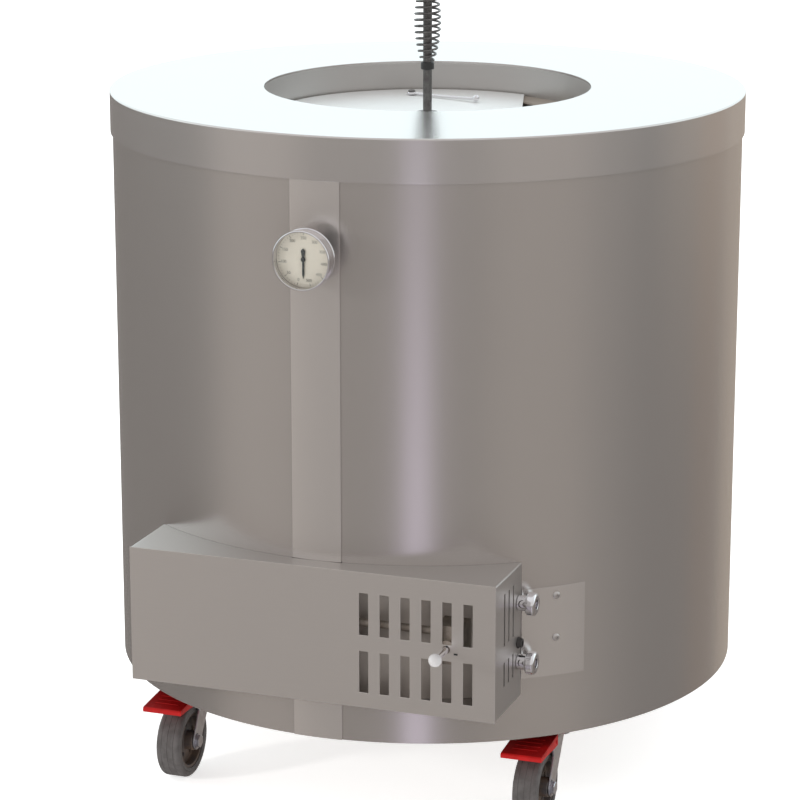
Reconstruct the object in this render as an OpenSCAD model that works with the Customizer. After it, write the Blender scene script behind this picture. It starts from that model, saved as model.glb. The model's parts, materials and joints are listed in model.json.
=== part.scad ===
// Round gas-fired clay oven on four swivel castors.
// Millimetres, +Z up. The floor is z = 0 and the front is -Y.
// The origin is the centre of the footprint, so the drum's axis stands axis_y behind it.

/* [Drum] */
// Outside diameter of the top cap
cap_d = 850; // [848:1:856]
// Height of the top surface above the floor
top_h = 912; // [908:1:916]
// Depth of the cap's skirt
skirt_h = 56; // [40:1:70]
// Height of the drum's underside above the floor
drum_bottom = 133; // [131:1:134]
// Thickness of the sheet round the drum
shell_t = 1.5; // [1:0.5:1.5]
// Width of the seam strap at the front
strap_w = 65; // [50:1:80]

/* [Mouth and pot] */
// Diameter of the mouth in the top cap
mouth_d = 438; // [436:1:440]
// How far the lid's top lies below the top surface
lid_drop = 39; // [35:1:42]
// Inside diameter of the clay pot at its rim
pot_rim_d = 356; // [350:2:370]
// Inside diameter of the clay pot at its widest
pot_belly_d = 590; // [570:2:600]
// Wall thickness of the clay pot
pot_wall = 38; // [34:1:42]

/* [Lid] */
// Diameter of the lid
lid_d = 428; // [424:1:430]
// Distance from the lid's centre to its straight edge
lid_flat_at = 126; // [120:1:140]
// Height of the lifting rod above the top surface
rod_rise = 150; // [145:1:170]
// Diameter of the lifting rod
rod_d = 12; // [10:1:13]
// Greatest diameter of the coiled grip
grip_d = 37; // [34:1:42]

/* [Burner box] */
// Width of the burner box
box_w = 492; // [488:1:496]
// Height of the burner box
box_h = 178.5; // [176:0.5:182]
// Height of the box's underside above the floor
box_bottom = 192; // [190:1:196]
// Distance from the drum's axis to the front of the box
box_reach = 450; // [450:1:454]
// Sheet thickness of the box
box_t = 1.5; // [1:0.5:2]
// Number of slot columns in the front cover
slot_columns = 6; // [5:1:6]
// Distance between slot columns
slot_pitch = 27.5; // [26:0.5:28]
// Diameter of the ball on the gas knob
knob_ball_d = 17; // [15:1:18]

/* [Thermometer] */
// Outside diameter of the thermometer's bezel
bezel_d = 75; // [70:1:80]
// Height of the thermometer's centre below the top surface
thermo_drop = 147; // [140:1:155]

/* [Castors] */
// Diameter of the castor wheels
wheel_d = 100; // [98:1:101]
// Width of the castor wheels
wheel_w = 34; // [30:1:35]
// Distance of each castor from the drum's axis, along X and along Y
castor_at = 250; // [246:1:252]
// How far each wheel trails its swivel axis
trail = 38; // [36:1:40]

/* [Hidden] */
$fn = 96;
STEEL = [0.62, 0.60, 0.58];
PALE_STEEL = [0.90, 0.92, 0.92];
DARK_STEEL = [0.30, 0.29, 0.29];
ZINC = [0.66, 0.66, 0.70];
CLAY = [0.66, 0.47, 0.35];
BRASS = [0.78, 0.63, 0.32];
RUBBER = [0.42, 0.40, 0.39];
RED = [0.75, 0.05, 0.05];

cap_r = cap_d / 2;
cap_t = 3;
skirt_t = 2;
shell_r = cap_r - 3;
shell_in = shell_r - shell_t;
strap_r = shell_r + 0.2;
strap_t = 1.2;
strap_face = strap_r + strap_t;
mouth_r = mouth_d / 2;
plate_t = 6;
floor_z = drum_bottom + plate_t;
knob_reach = box_reach + 42;
front_reach = knob_reach + knob_ball_d / 2;
axis_y = (front_reach - cap_r) / 2;
gap = 0.3;

// Pot: a jar with a narrow rim, its profile two parabolas that meet at the belly.
lid_t = 3;
lid_top = top_h - lid_drop;
lid_low = lid_top - lid_t;
seat_gap = 0.2;
pot_top = lid_low - seat_gap;
slab_t = 36;
pot_foot = floor_z + slab_t;
pot_h = pot_top - pot_foot;
pot_foot_r = 250;
belly_at = 0.35;
pot_rim_r = pot_rim_d / 2;
pot_belly_r = pot_belly_d / 2;
PROFILE_STEPS = 14;
function pot_end(t) = t > belly_at ? [pot_rim_r, 1 - belly_at] : [pot_foot_r, belly_at];
function pot_r(t) = pot_belly_r - (pot_belly_r - pot_end(t)[0]) * pow((t - belly_at) / pot_end(t)[1], 2);
function pot_wall_at(t, extra) = [pot_r(t) + extra, pot_foot + t * pot_h];
function pot_line(extra, top) = [for (i = [0 : PROFILE_STEPS]) pot_wall_at(top * i / PROFILE_STEPS, extra)];
function backwards(list) = [for (i = [len(list) - 1 : -1 : 0]) list[i]];
rim_band = 24;
band_at = 1 - rim_band / pot_h;
collar_t = 2;
collar_low = pot_top - rim_band + 2;

// Burner, along the drum's front-to-back line.
burner_z = 235;
tunnel_r = 28;
tunnel_t = 2.5;
tunnel_front = 424.5;
tunnel_back = 272;
pipe_r = 17;
pipe_t = 3;
ring_r = 80;
ring_in = 50;
ring_h = 24;
boss_front = 105;
probe_x = 21.5;
probe_r = 2.5;
air_hole_r = 60;

// Gas line inside the box.
tube_y = 436;
supply_z = 300;
feed_z = 268;
knob_x = 182;
knob_z = 282;
valve_w = 34;
valve_back = 404;
inlet_r = 10.4775;
inlet_len = 20;
inlet_y = 361;
inlet_seat = 3;
elbow_x = 237;
tube_r = 5;
stem_r = 4;

// Burner box and its slots.
box_half = box_w / 2;
box_top = box_bottom + box_h;
front_in = box_reach - box_t;
slot_w = 12;
first_slot = 72.8;
SLOT_ROWS = [[212, 266.5], [288, 343]];
SIDE_SLOTS_Y = [413, 395, 377];
side_slot_w = 5;
side_knob_y = 356;
SIDE_KNOB_Z = [243, 321];
side_knob_d = 30;
grommet_z = 268;
grommet_d = 12;
plate_from = 35.7;
plate_to = 47.5;
plate_low = 215;
plate_high = 334;
SCREW_AT = 42;
SCREW_Z = [266, 322];

// Thermometer.
thermo_z = top_h - thermo_drop;
bezel_r = bezel_d / 2;
case_r = bezel_r - 1.1;
dial_r = case_r - 0.8;
case_back = shell_r + 26;
case_front = case_back + 18;
dial_y = case_back + 10;
glass_y = case_front - 1.8;
bezel_front = case_front + 4;
thermo_probe_tip = 196;
neck_r = 8;
pin_r = 1.5;
run = 0.05;

// Lid furniture.
rod_top = top_h + rod_rise;
flat_angle = 16;
PIVOT = [-73, 144];
HOOK_END = [27, 116];
hook_z = lid_top + 2.6;
hook_r = 2.2;
grip_low = top_h + 31;
grip_high = top_h + 141;
grip_wire = 3;
grip_pitch = 8.3;
WIRE_SIDES = 6;
TURN_STEPS = 12;

// Castors.
wheel_r = wheel_d / 2;
CORNERS = [[-1, -1], [1, -1], [-1, 1], [1, 1]];
castor_plate_t = 4;
plate_z = drum_bottom - castor_plate_t;
race_r = 26;
race_low = plate_z - 12;
king_r = 6;
yoke_top = race_low - 0.5;
leg_in = 20.5;
leg_t = 2.5;
leg_out = leg_in + leg_t;
axle_r = 6;
axle_boss_r = 12;
BOLT_X = 35;
BOLT_Y = 27.5;
bolt_r = 4;
pedal_hinge = [-34, 112];
pedal_pin_r = 2.5;
pedal_ear_r = 5;
pedal_half = 27.5;
pedal_front = -100;

// ---------- shared shapes ----------

// Unit vector at an angle.
function unit(a) = [cos(a), sin(a)];

module on_axis() {
  translate([0, axis_y, 0]) children();
}

module tube(outer, inner, z0, z1) {
  difference() {
    translate([0, 0, z0]) cylinder(r = outer, h = z1 - z0);
    translate([0, 0, z0 - 1]) cylinder(r = inner, h = z1 - z0 + 2);
  }
}

// A rod along Y. front and back are distances in front of the drum's axis.
module rod_y(r, front, back, x = 0, z = 0) {
  translate([x, -front, z]) rotate([-90, 0, 0]) cylinder(r = r, h = front - back);
}

// A rod along X from x0 to x1.
module rod_x(r, x0, x1, y = 0, z = 0) {
  translate([x0, y, z]) rotate([0, 90, 0]) cylinder(r = r, h = x1 - x0);
}

module box(x0, x1, y0, y1, z0, z1) {
  translate([x0, y0, z0]) cube([x1 - x0, y1 - y0, z1 - z0]);
}

// A square-ended slot that cuts through a sheet facing -Y.
module slot_y(x, z0, z1, front, back, w) {
  box(x - w / 2, x + w / 2, -front, -back, z0, z1);
}

module slot_x(y, z0, z1, x0, x1, w) {
  box(x0, x1, y - w / 2, y + w / 2, z0, z1);
}

// A wedge of the drum between two angles measured from the front towards +X.
module wedge(from, to, reach, z0, z1) {
  mid = (from + to) / 2;
  translate([0, 0, z0]) linear_extrude(z1 - z0) polygon([
    [0, 0],
    reach * [sin(from), -cos(from)],
    1.02 * reach * [sin(mid), -cos(mid)],
    reach * [sin(to), -cos(to)]]);
}

// ---------- drum ----------

module base_plate() {
  color(STEEL) on_axis() difference() {
    tube(shell_in - gap, air_hole_r, drum_bottom, floor_z);
    castor_bolt_places() translate([0, 0, drum_bottom - 1]) cylinder(r = bolt_r + 0.2, h = plate_t + 2);
  }
}

module outer_shell() {
  color(STEEL) on_axis() difference() {
    tube(shell_r, shell_in, drum_bottom, top_h - cap_t);
    rod_y(tunnel_r + gap, shell_r + 5, shell_in - 20, 0, burner_z);
    rod_y(probe_r + gap, shell_r + 5, shell_in - 20, 0, thermo_z);
  }
}

module seam_strap() {
  color(PALE_STEEL) on_axis() difference() {
    intersection() {
      tube(strap_face, strap_r, drum_bottom, top_h - skirt_h);
      box(-strap_w / 2, strap_w / 2, -cap_r, -cap_r / 2, drum_bottom, top_h);
    }
    rod_y(tunnel_r + gap, cap_r, shell_in - 20, 0, burner_z);
    rod_y(probe_r + gap, cap_r, shell_in - 20, 0, thermo_z);
  }
}

module top_cap() {
  edge_r = 3;
  edge = [for (a = [90 : -30 : 0]) [cap_r - edge_r + edge_r * cos(a), top_h - edge_r + edge_r * sin(a)]];
  color(PALE_STEEL) on_axis() rotate_extrude() polygon(concat(
    [[mouth_r, top_h - cap_t], [mouth_r, top_h]],
    edge,
    [[cap_r, top_h - skirt_h], [cap_r - skirt_t, top_h - skirt_h], [cap_r - skirt_t, top_h - cap_t]]));
}

module mouth_collar() {
  color(STEEL) on_axis() tube(mouth_r + collar_t, mouth_r, collar_low, top_h - cap_t);
}

module front_ports(r_tunnel, r_probe) {
  rod_y(r_tunnel, cap_r, ring_r + 40, 0, burner_z);
  rod_y(r_probe, cap_r, 0, 0, thermo_z);
}

module clay_pot() {
  rim_out = mouth_r - gap;
  inside = pot_line(0, 1);
  outside = backwards(pot_line(pot_wall, band_at));
  color(CLAY) on_axis() difference() {
    rotate_extrude() polygon(concat(inside, [[rim_out, pot_top], [rim_out, collar_low - 2]], outside));
    front_ports(tunnel_r + gap, probe_r + gap);
  }
}

module insulation() {
  core = pot_line(pot_wall + gap, band_at);
  neck = mouth_r + collar_t + gap;
  out = shell_in - gap;
  color("white") on_axis() difference() {
    rotate_extrude() polygon(concat(
      [[out, floor_z], [pot_foot_r + pot_wall + gap, floor_z]],
      core,
      [[neck, collar_low - 2 + gap], [neck, top_h - cap_t], [out, top_h - cap_t]]));
    front_ports(tunnel_r + gap, probe_r + gap);
  }
}

module hearth_slab() {
  color("tan") on_axis() tube(pot_foot_r + pot_wall, air_hole_r, floor_z, pot_foot);
}

// ---------- burner ----------

module burner_tunnel() {
  face = tunnel_front;
  color(STEEL) on_axis() difference() {
    rod_y(tunnel_r, face, tunnel_back, 0, burner_z);
    rod_y(tunnel_r - tunnel_t, face - 3, tunnel_back - 1, 0, burner_z);
    rod_y(pipe_r + run, face + 1, face - 4, 0, burner_z);
    rod_y(probe_r + run, face + 1, face - 4, probe_x, burner_z);
  }
}

module burner_pipe() {
  color("dimgray") on_axis() difference() {
    rod_y(pipe_r, tunnel_front + 1, ring_r - 6, 0, burner_z);
    rod_y(pipe_r - pipe_t, tunnel_front + 2, ring_r - 7, 0, burner_z);
  }
}

module burner_ring() {
  low = burner_z - ring_h / 2 - 8;
  high = burner_z + ring_h / 2 + 8;
  ports = 12;
  leg_at = (ring_r + ring_in) / 2;
  color("dimgray") on_axis() difference() {
    union() {
      tube(ring_r, ring_in, low, high);
      rod_y(pipe_r + 4, boss_front, ring_r - 14, 0, burner_z);
      for (i = [0 : 2]) rotate(90 + 120 * i) translate([leg_at, 0, pot_foot]) {
        cylinder(r = 5, h = low - pot_foot + 1);
      }
    }
    rod_y(pipe_r + run, boss_front + 1, ring_r - 8, 0, burner_z);
    for (i = [0 : ports - 1]) rotate(360 * (i + 0.5) / ports) {
      translate([leg_at, 0, high - 6]) cylinder(r = 2.5, h = 7, $fn = 24);
    }
  }
}

module flame_deflector() {
  seat = burner_z + ring_h / 2 + 8;
  rise = 22;
  plate_r = 96;
  leg_at = (ring_r + ring_in) / 2;
  color("dimgray") on_axis() {
    translate([0, 0, seat]) rotate_extrude() polygon([
      [0, rise + 16], [0, rise + 20], [plate_r, rise + 4], [plate_r, rise]]);
    for (i = [0 : 2]) rotate(90 + 120 * i) translate([leg_at, 0, seat]) {
      cylinder(r = 4, h = rise + 5, $fn = 32);
    }
  }
}

module flame_probe() {
  color("ivory") on_axis() rod_y(probe_r, tunnel_front + 8, ring_r + 26, probe_x, burner_z);
}

// ---------- gas line ----------

module injector_tube() {
  r = 5;
  left = knob_x - valve_w / 2;
  color(BRASS) on_axis() {
    rod_x(r, 0, left, -tube_y, feed_z);
    translate([0, -tube_y, burner_z - 6]) cylinder(r = r, h = feed_z - burner_z + 6);
    translate([0, -tube_y, feed_z]) sphere(r = r);
    rod_y(3, tube_y, tunnel_front + 3, 0, burner_z);
  }
}

module gas_tube() {
  color(BRASS) on_axis() {
    rod_x(tube_r, -box_half + inlet_seat, -elbow_x, -inlet_y, supply_z);
    translate([-elbow_x, -inlet_y, supply_z]) sphere(r = tube_r);
    rod_y(tube_r, tube_y, inlet_y, -elbow_x, supply_z);
    translate([-elbow_x, -tube_y, supply_z]) sphere(r = tube_r);
    rod_x(tube_r, -elbow_x, knob_x - valve_w / 2, -tube_y, supply_z);
  }
}

module gas_valve() {
  low = feed_z - 8;
  high = supply_z + 10;
  half = valve_w / 2;
  color(BRASS) on_axis() difference() {
    union() {
      box(knob_x - half, knob_x + half, -front_in + 6, -valve_back, low, high);
      rod_y(11, front_in, front_in - 7, knob_x, knob_z);
    }
    rod_y(stem_r + run, front_in + 1, valve_back + 10, knob_x, knob_z);
  }
}

module gas_inlet() {
  hex_t = 9;
  wall = box_half + 0.1;
  color(BRASS) on_axis() difference() {
    union() {
      rod_x(inlet_r, -wall - hex_t - inlet_len, -wall - hex_t, -inlet_y, supply_z);
      translate([-wall - hex_t, -inlet_y, supply_z]) rotate([0, 90, 0]) cylinder(r = 12, h = hex_t, $fn = 6);
      rod_x(8.8, -wall - hex_t, -box_half + inlet_seat, -inlet_y, supply_z);
    }
    rod_x(6, -wall - hex_t - inlet_len - 1, -box_half, -inlet_y, supply_z);
  }
}

// ---------- burner box ----------

module drum_space(clear) {
  translate([0, 0, 1]) cylinder(r = shell_r + clear, h = top_h);
  intersection() {
    translate([0, 0, 1]) cylinder(r = strap_face + clear, h = top_h);
    box(-strap_w / 2 - 1, strap_w / 2 + 1, -cap_r, 0, 0, top_h);
  }
}

module side_slots(x0, x1) {
  for (y = SIDE_SLOTS_Y) {
    slot_x(-y, 282, 350, x0, x1, side_slot_w);
    slot_x(-y, 228, 260, x0, x1, side_slot_w);
  }
}

module box_body() {
  color(STEEL) on_axis() difference() {
    box(-box_half, box_half, -front_in, -300, box_bottom, box_top);
    box(-box_half + box_t, box_half - box_t, -front_in - 1, -200, box_bottom + box_t, box_top - box_t);
    drum_space(gap);
    side_slots(-box_half - 1, box_half + 1);
    for (z = SIDE_KNOB_Z) rod_x(7.05, box_half - 5, box_half + 5, -side_knob_y, z);
    rod_x(grommet_d / 2, box_half - 5, box_half + 5, -side_knob_y, grommet_z);
    rod_x(9, -box_half - 5, -box_half + 5, -inlet_y, supply_z);
  }
}

module box_front() {
  color(STEEL) on_axis() difference() {
    box(-box_half, box_half, -box_reach, -front_in, box_bottom, box_top);
    for (i = [0 : slot_columns - 1]) for (row = SLOT_ROWS) {
      slot_y(first_slot + i * slot_pitch, row[0], row[1], box_reach + 1, front_in - 1, slot_w);
    }
    rod_y(stem_r + 1, box_reach + 1, front_in - 1, knob_x, knob_z);
  }
}

module side_plate() {
  color(PALE_STEEL) on_axis() difference() {
    intersection() {
      tube(shell_r + 1.5, shell_r + 0.2, plate_low, plate_high);
      wedge(plate_from, plate_to, cap_r + 20, plate_low, plate_high);
    }
    for (z = SCREW_Z) rotate(SCREW_AT) rod_y(3, cap_r, shell_r - 10, 0, z);
  }
}

module plate_screws() {
  color(DARK_STEEL) on_axis() for (z = SCREW_Z) rotate(SCREW_AT) difference() {
    union() {
      rod_y(5, shell_r + 3.4, shell_r + 1.6, 0, z);
      rod_y(2.7, shell_r + 2, shell_r + 0.3, 0, z);
    }
    translate([0, -shell_r - 3.5, z]) rotate([-90, 0, 0]) cylinder(r = 2.2, h = 1.2, $fn = 6);
  }
}

module side_grommet() {
  r = grommet_d / 2;
  color(DARK_STEEL) on_axis() translate([box_half, -side_knob_y, grommet_z]) rotate([0, 90, 0]) difference() {
    union() {
      translate([0, 0, 0.05]) cylinder(r = r + 1.5, h = 1.6);
      translate([0, 0, 1]) cylinder(r1 = r, r2 = r - 1.5, h = 6);
      translate([0, 0, -box_t - 1]) cylinder(r = r - 0.1, h = box_t + 2);
    }
    translate([0, 0, -5]) cylinder(r = r - 2.8, h = 15);
  }
}

// A chrome thumb knob on a short neck, with a blind recess in its outer face.
module box_knob(z) {
  r = side_knob_d / 2;
  at = [box_half, -side_knob_y, z];
  color("gainsboro") on_axis() translate(at) rotate([0, 90, 0]) rotate_extrude() polygon([
    [0, -6], [7, -6], [7, 0.3], [10, 0.3], [10, 11], [r - 2.5, 12], [r - 0.7, 13.2], [r, 15],
    [r, 20.5], [r - 0.8, 22.5], [r - 3, 24], [7.5, 24.5], [6, 23.5], [6, 18], [0, 18]]);
}

module box_knob_lower() {
  box_knob(SIDE_KNOB_Z[0]);
}

module box_knob_upper() {
  box_knob(SIDE_KNOB_Z[1]);
}

module knob_stem() {
  color("silver") on_axis() rod_y(stem_r, knob_reach - 5, front_in - 28, knob_x, knob_z);
}

module knob_ball() {
  r = knob_ball_d / 2;
  hole_r = stem_r + 0.02;
  hole_end = -5;
  tail = -acos(hole_r / r);
  arc = [for (i = [0 : 16]) let (a = 90 + (tail - 90) * i / 16) r * unit(a)];
  color("white") on_axis() translate([knob_x, -knob_reach, knob_z]) rotate([90, 0, 0]) {
    rotate_extrude() polygon(concat(arc, [[hole_r, hole_end], [0, hole_end]]));
  }
}

// ---------- thermometer ----------

module thermo_case() {
  color("silver") on_axis() difference() {
    rod_y(case_r, case_front, case_back, 0, thermo_z);
    rod_y(dial_r + 0.1, case_front + 1, dial_y, 0, thermo_z);
    rod_y(dial_r - 3, case_front, case_back + 2, 0, thermo_z);
    rod_y(pin_r + 2, case_front, case_back - 1, 0, thermo_z);
  }
}

module thermo_bezel() {
  lip = 2.2;
  color("silver") on_axis() translate([0, 0, thermo_z]) rotate([90, 0, 0]) rotate_extrude() polygon([
    [case_r + 0.1, case_front - 5], [bezel_r, case_front - 5], [bezel_r, bezel_front - 1.5],
    [bezel_r - 0.5, bezel_front - 0.4], [bezel_r - 1.2, bezel_front], [bezel_r - lip + 0.3, bezel_front],
    [bezel_r - lip, case_front + 0.1], [case_r + 0.1, case_front + 0.1]]);
}

module thermo_dial() {
  color("ivory") on_axis() difference() {
    rod_y(dial_r, dial_y + 1, dial_y, 0, thermo_z);
    rod_y(pin_r + run, dial_y + 2, dial_y - 1, 0, thermo_z);
  }
}

module thermo_glass() {
  color([0.8, 0.9, 0.9, 0.4]) on_axis() rod_y(dial_r, case_front, glass_y, 0, thermo_z);
}

module thermo_stem() {
  color("silver") on_axis() {
    rod_y(probe_r, strap_face + 2, thermo_probe_tip, 0, thermo_z);
    rod_y(14, strap_face + 2, strap_face + 0.1, 0, thermo_z);
    rod_y(neck_r, case_back - 9, strap_face + 1, 0, thermo_z);
    translate([0, -case_back, thermo_z]) rotate([-90, 0, 0]) cylinder(r = 12.5, h = 10, $fn = 6);
  }
}

// The needle, balanced about a pin that turns in the dial. When the oven is cold it points straight down.
module thermo_pointer() {
  level = dial_y + 2.2;
  half = 1.3;
  color("black") on_axis() {
    translate([0, -level, thermo_z]) rotate([90, 0, 0]) linear_extrude(0.8) polygon([
      [-half, 0], [-half * 1.3, -18], [0, -24], [half * 1.3, -18], [half, 0],
      [half * 2.4, 11], [0, 14], [-half * 2.4, 11]]);
    rod_y(3, level + 1.4, level, 0, thermo_z);
    rod_y(pin_r, level + 1, dial_y - 2, 0, thermo_z);
  }
}

// ---------- lid ----------

module lid_plate() {
  color(PALE_STEEL) on_axis() difference() {
    translate([0, 0, lid_low]) cylinder(d = lid_d, h = lid_t);
    rotate(flat_angle) box(lid_flat_at, lid_d, -lid_d, lid_d, lid_low - 1, lid_top + 1);
    translate([0, 0, lid_low - 1]) cylinder(d = rod_d - 2, h = lid_t + 2);
    translate([PIVOT[0], PIVOT[1], lid_low - 1]) cylinder(r = 3.1, h = lid_t + 2);
  }
}

module lid_rod() {
  washer_t = 3;
  color(DARK_STEEL) on_axis() {
    translate([0, 0, lid_top + washer_t]) cylinder(d = rod_d, h = rod_top - lid_top - washer_t);
    translate([0, 0, lid_top]) cylinder(r = 14, h = washer_t);
    translate([0, 0, lid_low - 11]) cylinder(d = rod_d - 2.1, h = lid_t + 12);
  }
}

module lid_fasteners() {
  color(DARK_STEEL) on_axis() {
    difference() {
      translate([0, 0, lid_low - 9]) cylinder(r = 10.5, h = 9, $fn = 6);
      translate([0, 0, lid_low - 10]) cylinder(d = rod_d - 2, h = 11);
    }
    translate([PIVOT[0], PIVOT[1], 0]) {
      translate([0, 0, lid_low - 2]) cylinder(r = 3, h = lid_t + 8);
      translate([0, 0, lid_top + 5.2]) cylinder(r = 5.5, h = 2);
    }
  }
}

module lid_hook() {
  reach = HOOK_END - PIVOT;
  angle = atan2(reach[1], reach[0]);
  color(DARK_STEEL) on_axis() translate([PIVOT[0], PIVOT[1], 0]) {
    tube(7, 3 + run, lid_top + 0.4, lid_top + 4.8);
    translate([0, 0, hook_z]) rotate(angle) {
      rod_x(hook_r, 6, norm(reach) + 1);
      translate([norm(reach) + 4, 0, 2.6]) sphere(r = 4.6);
    }
  }
}

module grip_collar() {
  color("black") on_axis() tube(9, rod_d / 2 + 0.05, grip_low - 10, grip_low);
}

// Radius of the coil's centre line: a spindle, narrow at both ends.
function coil_r(t) = rod_d / 2 + grip_wire / 2 + 0.4
  + (grip_d / 2 - rod_d / 2 - grip_wire - 0.4) * pow(sin(180 * t), 0.8);
function coil_point(t, turns, h) = let (a = 360 * turns * t)
  [coil_r(t) * cos(a), coil_r(t) * sin(a), grip_wire / 2 + 0.2 + t * h];
function coil_side(t, turns, h, b) = let (
  a = 360 * turns * t,
  c = coil_point(t, turns, h),
  w = grip_wire / 2)
  [c[0] + w * cos(b) * cos(a), c[1] + w * cos(b) * sin(a), c[2] + w * sin(b)];

module grip_coil() {
  h = grip_high - grip_low - grip_wire - 0.4;
  turns = h / grip_pitch;
  rings = floor(turns * TURN_STEPS);
  points = [for (i = [0 : rings]) for (k = [0 : WIRE_SIDES - 1])
    coil_side(i / rings, turns, h, 360 * k / WIRE_SIDES)];
  sides = [for (i = [0 : rings - 1]) for (k = [0 : WIRE_SIDES - 1])
    [i * WIRE_SIDES + k, i * WIRE_SIDES + (k + 1) % WIRE_SIDES,
     (i + 1) * WIRE_SIDES + (k + 1) % WIRE_SIDES, (i + 1) * WIRE_SIDES + k]];
  ends = [[for (k = [WIRE_SIDES - 1 : -1 : 0]) k], [for (k = [0 : WIRE_SIDES - 1]) rings * WIRE_SIDES + k]];
  color(DARK_STEEL) on_axis() translate([0, 0, grip_low]) {
    polyhedron(points, concat(sides, ends), convexity = 20);
  }
}

// ---------- castors ----------

module castor_places() {
  for (c = CORNERS) translate([c[0] * castor_at, c[1] * castor_at, 0]) children();
}

module castor_bolt_places() {
  castor_places() for (c = CORNERS) translate([c[0] * BOLT_X, c[1] * BOLT_Y, 0]) children();
}

module castor_at_corner(corner) {
  on_axis() translate([corner[0] * castor_at, corner[1] * castor_at, 0]) children();
}

module castor_plates() {
  half_x = 45;
  half_y = 37.5;
  r = 8;
  color(ZINC) on_axis() castor_places() difference() {
    union() {
      box(-half_x, half_x, -half_y + r, half_y - r, plate_z, drum_bottom);
      box(-half_x + r, half_x - r, -half_y, half_y, plate_z, drum_bottom);
      for (c = CORNERS) translate([c[0] * (half_x - r), c[1] * (half_y - r), plate_z]) {
        cylinder(r = r, h = castor_plate_t);
      }
      translate([0, 0, race_low]) cylinder(r1 = race_r - 3, r2 = race_r, h = plate_z - race_low);
    }
    translate([0, 0, race_low - 1]) cylinder(r = king_r + run, h = 14);
    for (c = CORNERS) translate([c[0] * BOLT_X, c[1] * BOLT_Y, plate_z - 1]) {
      cylinder(r = bolt_r + 0.2, h = castor_plate_t + 2);
    }
  }
}

module castor_bolts() {
  color("silver") on_axis() castor_bolt_places() {
    translate([0, 0, plate_z - 5]) cylinder(r = 7.5, h = 4.95, $fn = 6);
    translate([0, 0, plate_z - 1]) cylinder(r = bolt_r, h = castor_plate_t + plate_t + 0.8);
  }
}

// The point where a line from p touches a circle.
function touch(p, c, r, side) = let (
  d = c - p,
  a = atan2(d[1], d[0]) + side * asin(r / norm(d)))
  p + sqrt(pow(norm(d), 2) - r * r) * unit(a);

module fork_leg() {
  hub = [-trail, wheel_r];
  rear = [22, yoke_top];
  front = [-26, yoke_top];
  polygon([rear, front, touch(front, hub, axle_boss_r, -1), hub, touch(rear, hub, axle_boss_r, 1)]);
  translate(hub) circle(r = axle_boss_r);
  translate(pedal_hinge) circle(r = pedal_ear_r);
  polygon([
    [-22, yoke_top], pedal_hinge + [0, pedal_ear_r - 0.1], pedal_hinge - [0, pedal_ear_r - 0.1], [-30, 90]]);
}

module fork(corner) {
  color(ZINC) castor_at_corner(corner) difference() {
    union() {
      for (x = [-leg_out, leg_in]) translate([x, 0, 0]) {
        rotate([90, 0, 90]) linear_extrude(leg_t) fork_leg();
      }
      box(-leg_out, leg_out, -25, 22, yoke_top - 5, yoke_top);
      translate([0, 0, yoke_top - 1]) cylinder(r = 20, h = 1.2);
      translate([0, 0, yoke_top - 1]) cylinder(r = king_r, h = 13);
    }
    rod_x(axle_r + 0.02, -30, 30, -trail, wheel_r);
    rod_x(pedal_pin_r + run, -30, 30, pedal_hinge[0], pedal_hinge[1]);
  }
}

module axle(corner) {
  color("silver") castor_at_corner(corner) {
    rod_x(axle_r, -leg_out - 1, leg_out + 1, -trail, wheel_r);
    translate([leg_out + 0.05, -trail, wheel_r]) rotate([0, 90, 0]) cylinder(r = 9, h = 5, $fn = 6);
    translate([-leg_out - 5.05, -trail, wheel_r]) rotate([0, 90, 0]) cylinder(r = 9, h = 5, $fn = 6);
  }
}

module hub(corner) {
  rim = wheel_r - 12.1;
  half = wheel_w / 2;
  color(DARK_STEEL) castor_at_corner(corner) translate([0, -trail, wheel_r]) rotate([0, 90, 0]) difference() {
    rotate_extrude() polygon([
      [axle_r + run, -leg_in + 0.5], [13, -leg_in + 0.5], [13, -7], [rim - 5, -5], [rim - 4, 2 - half],
      [rim, 2 - half], [rim, half - 2], [rim - 4, half - 2], [rim - 5, 5], [13, 7],
      [13, leg_in - 0.5], [axle_r + run, leg_in - 0.5]]);
    for (i = [0 : 4]) rotate(72 * i) translate([23, 0, -10]) cylinder(r = 5, h = 20, $fn = 32);
  }
}

module tyre(corner) {
  half = wheel_w / 2;
  inner = wheel_r - 12;
  round = 5;
  shoulder = [for (a = [0 : 22.5 : 90]) [wheel_r - round + round * cos(a), half - round + round * sin(a)]];
  color(RUBBER) castor_at_corner(corner) translate([0, -trail, wheel_r]) rotate([0, 90, 0]) {
    rotate_extrude() polygon(concat(
      [[inner, -half + 1], [inner + 2, -half]],
      [for (p = backwards(shoulder)) [p[0], -p[1]]],
      shoulder,
      [[inner + 2, half], [inner, half - 1]]));
  }
}

// The red brake pedal: a plate with side cheeks, a front lip and a shoe above the wheel.
module pedal(corner) {
  t = 2.5;
  rear = -28;
  rear_z = 121;
  lip_z = 115;
  lip_h = 7;
  color(RED) castor_at_corner(corner) difference() {
    union() {
      rotate([90, 0, 90]) translate([0, 0, -pedal_half]) linear_extrude(2 * pedal_half) polygon([
        [rear, rear_z], [pedal_front, lip_z],
        [pedal_front - 2, lip_z - lip_h], [pedal_front + t - 2, lip_z - lip_h],
        [pedal_front + t, lip_z - t], [rear, rear_z - t]]);
      for (x = [-pedal_half, pedal_half - t]) translate([x, 0, 0]) rotate([90, 0, 90])
        linear_extrude(t) polygon([
        [rear, rear_z - 1], [pedal_front + 1, lip_z - 1], [pedal_front, lip_z - lip_h],
        [pedal_front + 25, lip_z - lip_h], [-44, 106], [rear, 106]]);
      box(-12, 12, -54, -42, 103, 118);
      rod_x(pedal_pin_r, -pedal_half - 1, pedal_half + 1, pedal_hinge[0], pedal_hinge[1]);
    }
    box(-pedal_half - 5, pedal_half + 5, -10, 0, 90, 130);
  }
}

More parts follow.
